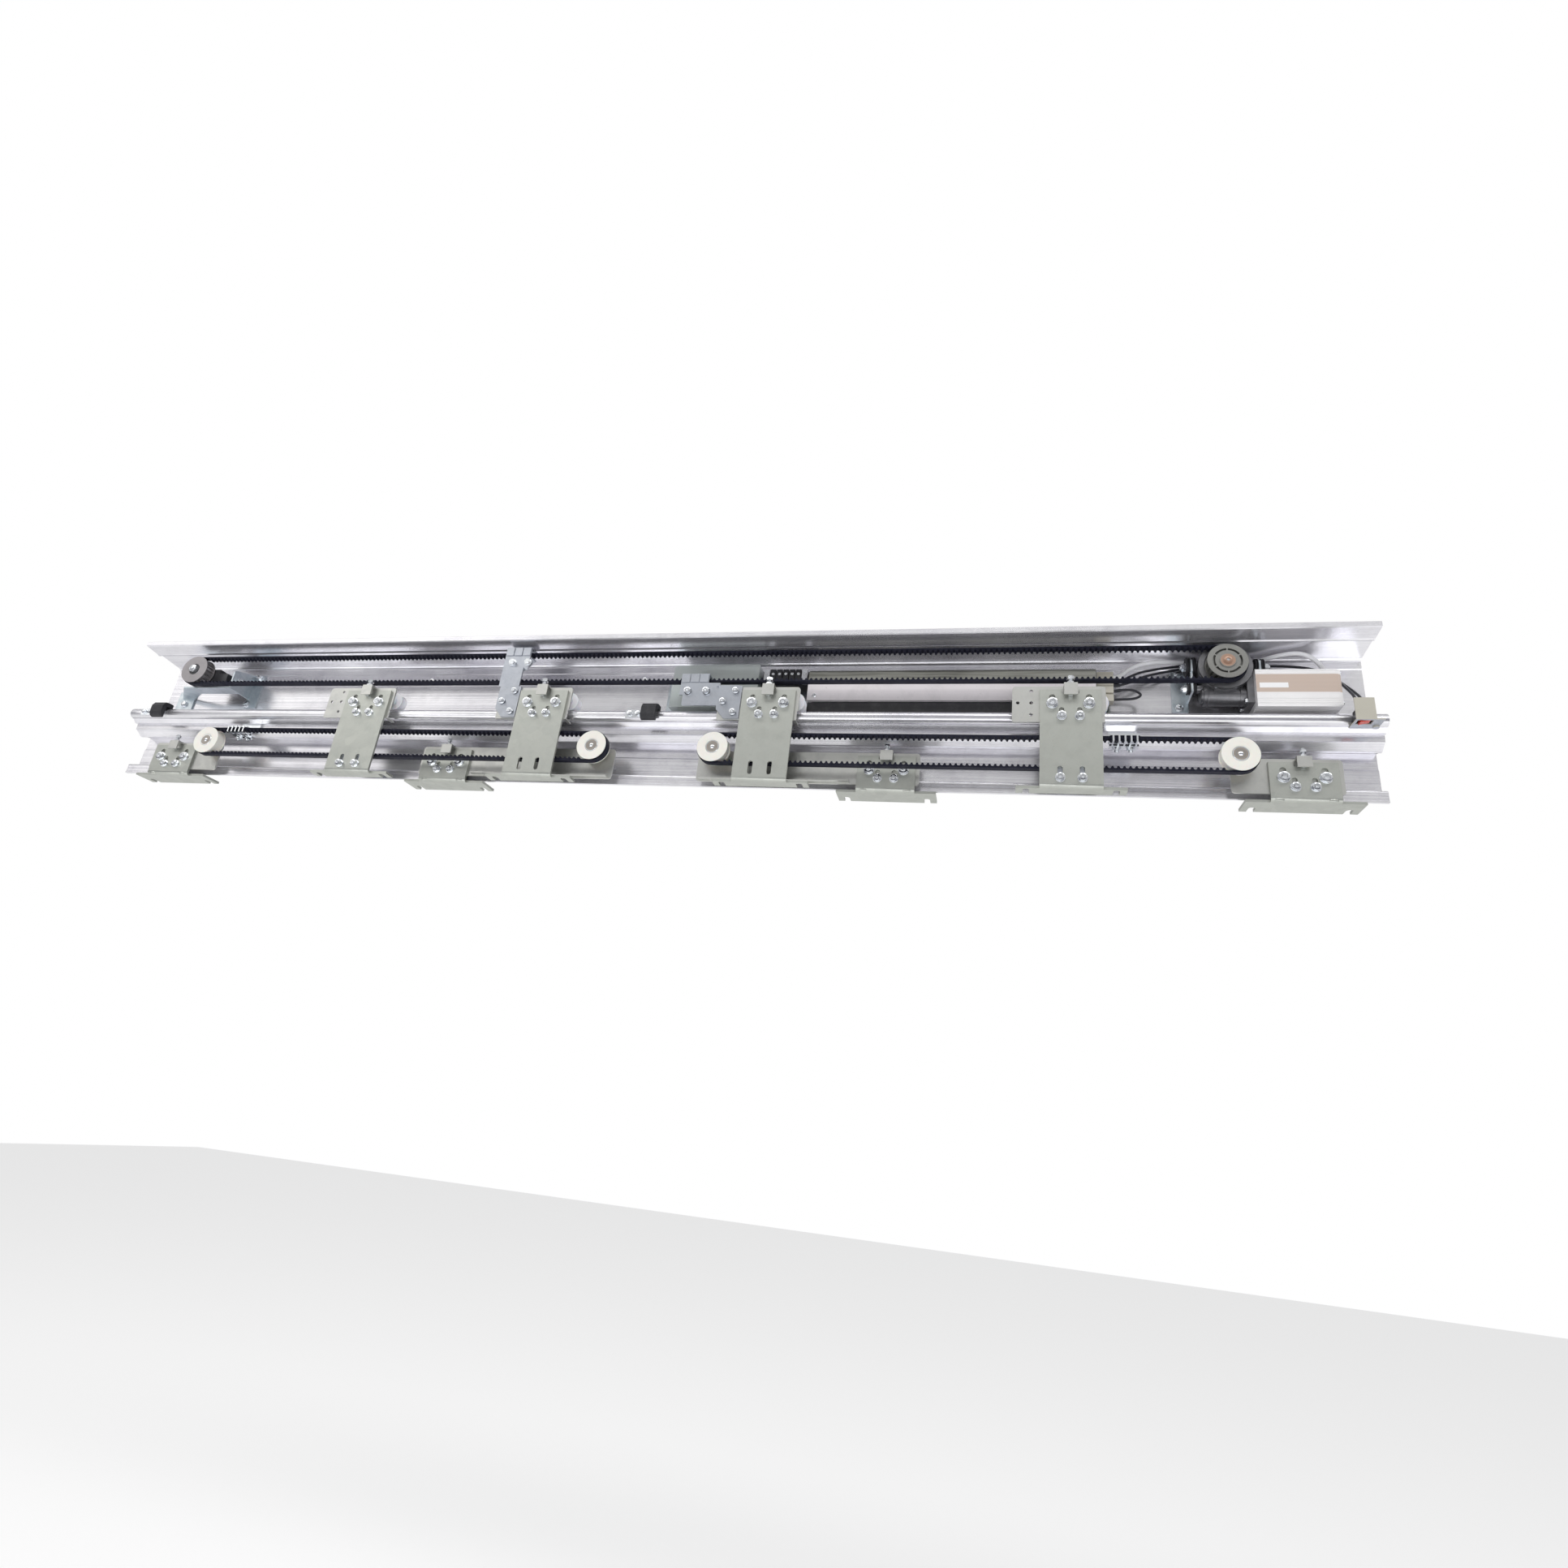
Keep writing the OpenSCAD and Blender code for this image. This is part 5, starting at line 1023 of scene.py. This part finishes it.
green_board = moulded("green_board", (0.045, 0.16, 0.09), (0.20, 0.30, 0.16), 0.35, 300.0, 0.5, 0.25)
dark_parts = moulded("dark_parts", (0.035, 0.036, 0.040), (0.16, 0.16, 0.17), 0.40, 700.0, 0.4, 0.2, 0.2)
cream_plastic = moulded("cream_plastic", (0.66, 0.63, 0.54), (0.45, 0.42, 0.35), 0.42, 600.0, 0.3, 0.08)
can_blue = moulded("can_blue", (0.05, 0.07, 0.16), (0.20, 0.22, 0.30), 0.30, 600.0, 0.2, 0.05)
coat("power_supply_cover", clear_plastic(), (blue_zinc, lambda face, solid: solid["size"].x < 0.03))

# Depth of each board's front and back, and where the supply ends and the controller and its plugs begin
SUPPLY_BOARD, CONTROL_BOARD = (-0.01411, -0.01239), (-0.0201, -0.0183)
SUPPLY_END, CONTROL_START, PLUGS_START = 0.16, 0.24, 0.68


def on_board(face, solid):
    """Whether a face belongs to one of the two green boards."""
    x, y = face.center.x, face.center.y
    return (SUPPLY_BOARD[0] < y < SUPPLY_BOARD[1] and x < SUPPLY_END
            or CONTROL_BOARD[0] < y < CONTROL_BOARD[1] and x > CONTROL_START)


def on_plug(face, solid):
    return face.center.x > PLUGS_START and face.center.y < CONTROL_BOARD[0]


dress("circuit_boards", 0.3, dark_parts, (green_board, on_board), (cream_plastic, on_plug))

supply_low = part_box("power_supply_cover")[0]
board_front = -0.014
bm = bmesh.new()
for i in range(4):
    spot = Vector((supply_low.x + (36 + 13 * i) * MM, board_front, supply_low.z + 58 * MM))
    turned(bm, [(0, 15), (4.2, 15), (5.2, 14.2), (5.2, 13.2), (4.9, 12.6), (5.2, 12), (5.2, 0), (0, 0)],
           spot, FRONT, 32)
    for dx in (-4, 4):
        turned(bm, [(0, 5.5), (1.6, 5.5), (2.0, 5), (2.0, 0), (0, 0)], spot + Vector((dx, 0, -13)) * MM,
               FRONT, 20, 1)
for i in range(9):
    x = supply_low.x + (30 + 12 * i) * MM
    block(bm, (x, board_front - 3 * MM, supply_low.z + 9 * MM),
          (x + 6 * MM, board_front, supply_low.z + 12.5 * MM), 0.5, 2)
for x in (100, 120):
    spot = Vector((supply_low.x + x * MM, board_front - 8 * MM, supply_low.z + 24 * MM))
    turned(bm, [(5, -4), (9.5, -4), (10.5, -3), (10.5, 3), (9.5, 4), (5, 4)], spot, FRONT, 36, 3)
piece("supply_parts", bm, [can_blue, bright_zinc, cream_plastic, copper], "beam", "circuit_board")

rail_low, rail_top = Vector((0.161, -0.036, 0.062)), 0.086
white_block = moulded("white_block", (0.80, 0.81, 0.84), (0.55, 0.55, 0.58), 0.40, 600.0, 0.2, 0.06)
bm = bmesh.new()
for i in range(7):
    x = rail_low.x + (3 + 10.6 * i) * MM
    block(bm, (x, rail_low.y - 1.5 * MM, rail_low.z + 1 * MM),
          (x + 9.4 * MM, rail_low.y + 9 * MM, rail_top + 1.5 * MM), 0.8, 0 if i in (0, 6) else 1)
    turned(bm, [(0, 0.4), (2.2, 0.4), (2.6, 0), (2.6, -2), (0, -2)],
           Vector((x + 4.7 * MM, rail_low.y - 1.5 * MM, rail_low.z + 17 * MM)), FRONT, 20, 2)
piece("terminal_blocks", bm, [white_block, black_plastic, bright_zinc], "beam", "black_plastic")


# ---- Controller -----------------------------------------------------------------------------
# A black tray with a folded satin cover over its board; along the cover's upper edge a painted
# reflection of the belt, mottled dark grey-green, lies above a pale printed strip, which is left blank
# here. Plugs leave at its right end.

# Height at which the satin part ends and the painted belt reflection along the upper edge begins
BELT_REFLECTION_EDGE = (0.0575, 0.0580)


def cover_skin():
    """Satin cover: lilac-white below, with a painted reflection of the belt in its upper strip, mottled dark
    grey-green.
    """
    material, tree, sockets = finish("cover_skin", 0.5)
    level = add(tree, "SeparateXYZ", _0=on_object(tree)).outputs["Z"]
    upper = spread(tree, level, 0.0, 1.0, *BELT_REFLECTION_EDGE)
    # Above the edge the colour turns to a painted reflection of the belt: dark grey-green streaks over grey.
    painted_belt_reflection = use(tree, drawn_lines, Colour=(0.42, 0.42, 0.38), Line_colour=(0.14, 0.14, 0.12), Amount=1.0,
                  Along=9.0, Across=260.0)
    satin = use(tree, drawn_lines, Colour=(0.78, 0.74, 0.76), Line_colour=(0.66, 0.63, 0.66), Amount=0.4)
    worn = use(tree, marks, Colour=blend(tree, upper, satin["Colour"], painted_belt_reflection["Colour"]),
               Mark_colour=grey(0.3), Amount=0.2)
    gloss = spread(tree, satin["Height"], 0.30, 0.45)
    join_up(tree, sockets, worn["Colour"], gloss, painted_belt_reflection["Height"], 0.08, 0.0002)
    return material


dress("controller_tray", 0.8, black_plastic)
dress("controller_cover", 0.5, cover_skin())
COVER_SCREW, SCREW_IN, SCREW_UP = (0.7, 1.2, 1.6, 2.6, 3.4, 0.8), 12, 8
cover_low, cover_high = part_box("controller_cover")
bm = bmesh.new()
for x in (cover_low.x + SCREW_IN * MM, cover_high.x - SCREW_IN * MM):
    socket_head(bm, COVER_SCREW, Vector((x, cover_low.y, cover_low.z + SCREW_UP * MM)), FRONT)
piece("cover_screws", bm, [bright_zinc], "beam", "bright_zinc")


# ---- Wiring ---------------------------------------------------------------------------------
# The motor's white cable and three black wires run from the controller's plugs behind the
# gearbox and over the motor; two of the wires go on to the mains switch. Held all the way.

CABLE = [(708, -27, 76), (713, -27, 76), (721, -31, 78), (731, -35, 84), (745, -36, 91),
         (765, -33, 97), (785, -25, 102), (802, -17, 105), (817, -13, 106), (832, -9.5, 106.5),
         (870, -9.5, 107), (898, -10, 107), (915, -15, 108), (935, -26, 109.5), (955, -33, 110),
         (970, -35, 107.5), (982, -35, 100), (990, -35, 90), (996, -35, 76), (996, -35, 67.6)]
WIRE_A = [(708, -27, 66), (713, -27, 66), (721, -28, 69), (733, -28, 76), (750, -27, 84),
          (775, -22, 92), (797, -17, 98), (813, -15, 101), (831, -9.8, 101), (880, -9.6, 101),
          (905, -11, 101), (930, -14, 100), (955, -16, 98), (978, -18, 94), (996, -21, 86),
          (1007, -28, 74), (1012, -42, 55), (1014, -60, 34), (1014, -72, 20), (1014, -77, 8),
          (1014, -77, -5)]
WIRE_B = [(708, -27, 61), (713, -27, 61), (722, -28, 62.5), (737, -28, 68), (754, -26, 77),
          (778, -21, 86), (798, -16.5, 92.5), (812, -15, 95), (827, -9.8, 96), (880, -9.6, 96),
          (905, -10, 96), (930, -11, 95.5), (955, -12, 94), (980, -14, 90), (1001, -18, 81),
          (1014, -27, 67), (1020, -42, 49), (1022, -60, 30), (1022, -72, 17), (1022, -77, 6),
          (1022, -77, -5)]
JUMPER = [(708, -27, 52), (713, -27, 52), (724, -29, 53), (738, -30, 51), (746, -30, 45),
          (743, -30, 40), (733, -29, 37.5), (720, -28, 37.5), (713, -27, 37.5), (708, -27, 37.5)]


def smooth_route(route, steps):
    """Points on a smooth curve through a route's own points."""
    points = [Vector(p) for p in route]
    line = []
    for i in range(len(points) - 1):
        a, b, c = points[max(i - 1, 0)], points[i], points[i + 1]
        d = points[min(i + 2, len(points) - 1)]
        for k in range(steps):
            t = k / steps
            line.append(0.5 * (2 * b + (c - a) * t + (2 * a - 5 * b + 4 * c - d) * t * t
                               + (3 * b - a - 3 * c + d) * t ** 3))
    return [p * MM for p in line + [points[-1]]]


def tube(bm, line, radius, sides=16, finish_index=0):
    """A round tube along a line, closed at both ends."""
    turn = None
    rings = []
    for i, place in enumerate(line):
        heading = (line[min(i + 1, len(line) - 1)] - line[max(i - 1, 0)]).normalized()
        turn = heading.to_track_quat("Z", "Y") if turn is None else (
            (turn @ UP).rotation_difference(heading) @ turn)
        rings.append([place + turn @ Vector(p) for p in round_ring(radius, 0, sides)])
    sweep(bm, [[line[0]]] + rings + [[line[-1]]], Matrix.Identity(4), False, finish_index)


white_jacket = moulded("white_jacket", (0.93, 0.93, 0.95), (0.68, 0.68, 0.71), 0.36, 700.0, 0.15, 0.05)
black_jacket = moulded("black_jacket", (0.014, 0.015, 0.022), (0.08, 0.08, 0.10), 0.34, 700.0, 0.2, 0.06)
bm = bmesh.new()
cable_line = smooth_route(CABLE, 6)
tube(bm, cable_line, 3.2, 24)
turned(bm, [(0, 0), (4.2, 0), (4.6, 1), (4.6, 6), (3.7, 12), (3.2, 13), (0, 13)],
       cable_line[-1] - UP * 0.5 * MM, UP, 32)
piece("motor_cable", bm, [white_jacket], "beam", "cable_jacket", ["wiring"])
bm = bmesh.new()
for route in (WIRE_A, WIRE_B, JUMPER):
    line = smooth_route(route, 5)
    tube(bm, line, 1.9)
    tube(bm, line[:9], 2.5)
piece("black_wires", bm, [black_jacket], "beam", "cable_jacket")


# ---- Mains switch ---------------------------------------------------------------------------
# A beige-painted bent bracket on the beam's right end holds a black rocker switch that looks
# down; its red rocker is glossy translucent plastic.

dress("switch_body", 0.5, black_plastic)
beige_paint = moulded("beige_paint", (0.52, 0.50, 0.43), (0.35, 0.33, 0.28), 0.42, 500.0, 0.12, 0.06, 0.3)
dress("switch_cover", 0.4, beige_paint,
      (clamp_zinc, lambda face, solid: face.normal.z < -0.5 or solid["size"].z < 11 * MM))
red_plastic = moulded("red_rocker", (0.55, 0.045, 0.025), (0.75, 0.20, 0.14), 0.22, 400.0, 0.2, 0.03, 0.0,
                      Coat_Weight=0.4, Subsurface_Weight=0.2, Subsurface_Scale=0.002)
dress("switch_rocker", 0.6, red_plastic)


# ---- Sizes and image points -----------------------------------------------------------------
# The adjuster bolts' solids, where each shown corner falls in the image, and the box of everything shown
# after dressing.

adjusters = [s for side in ("left", "right") for s in islands("fast_%s_fasteners" % side)
             if s["size"].z > 20 * MM and s["size"].x < ADJUSTER_WIDE]

bpy.context.view_layer.update()
evaluated = bpy.context.evaluated_depsgraph_get()
corners = []
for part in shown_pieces():
    final = part.evaluated_get(evaluated)
    mesh = final.to_mesh()
    corners += [shown_at(final.matrix_world @ v.co) for v in mesh.vertices]
    final.to_mesh_clear()
low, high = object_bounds()
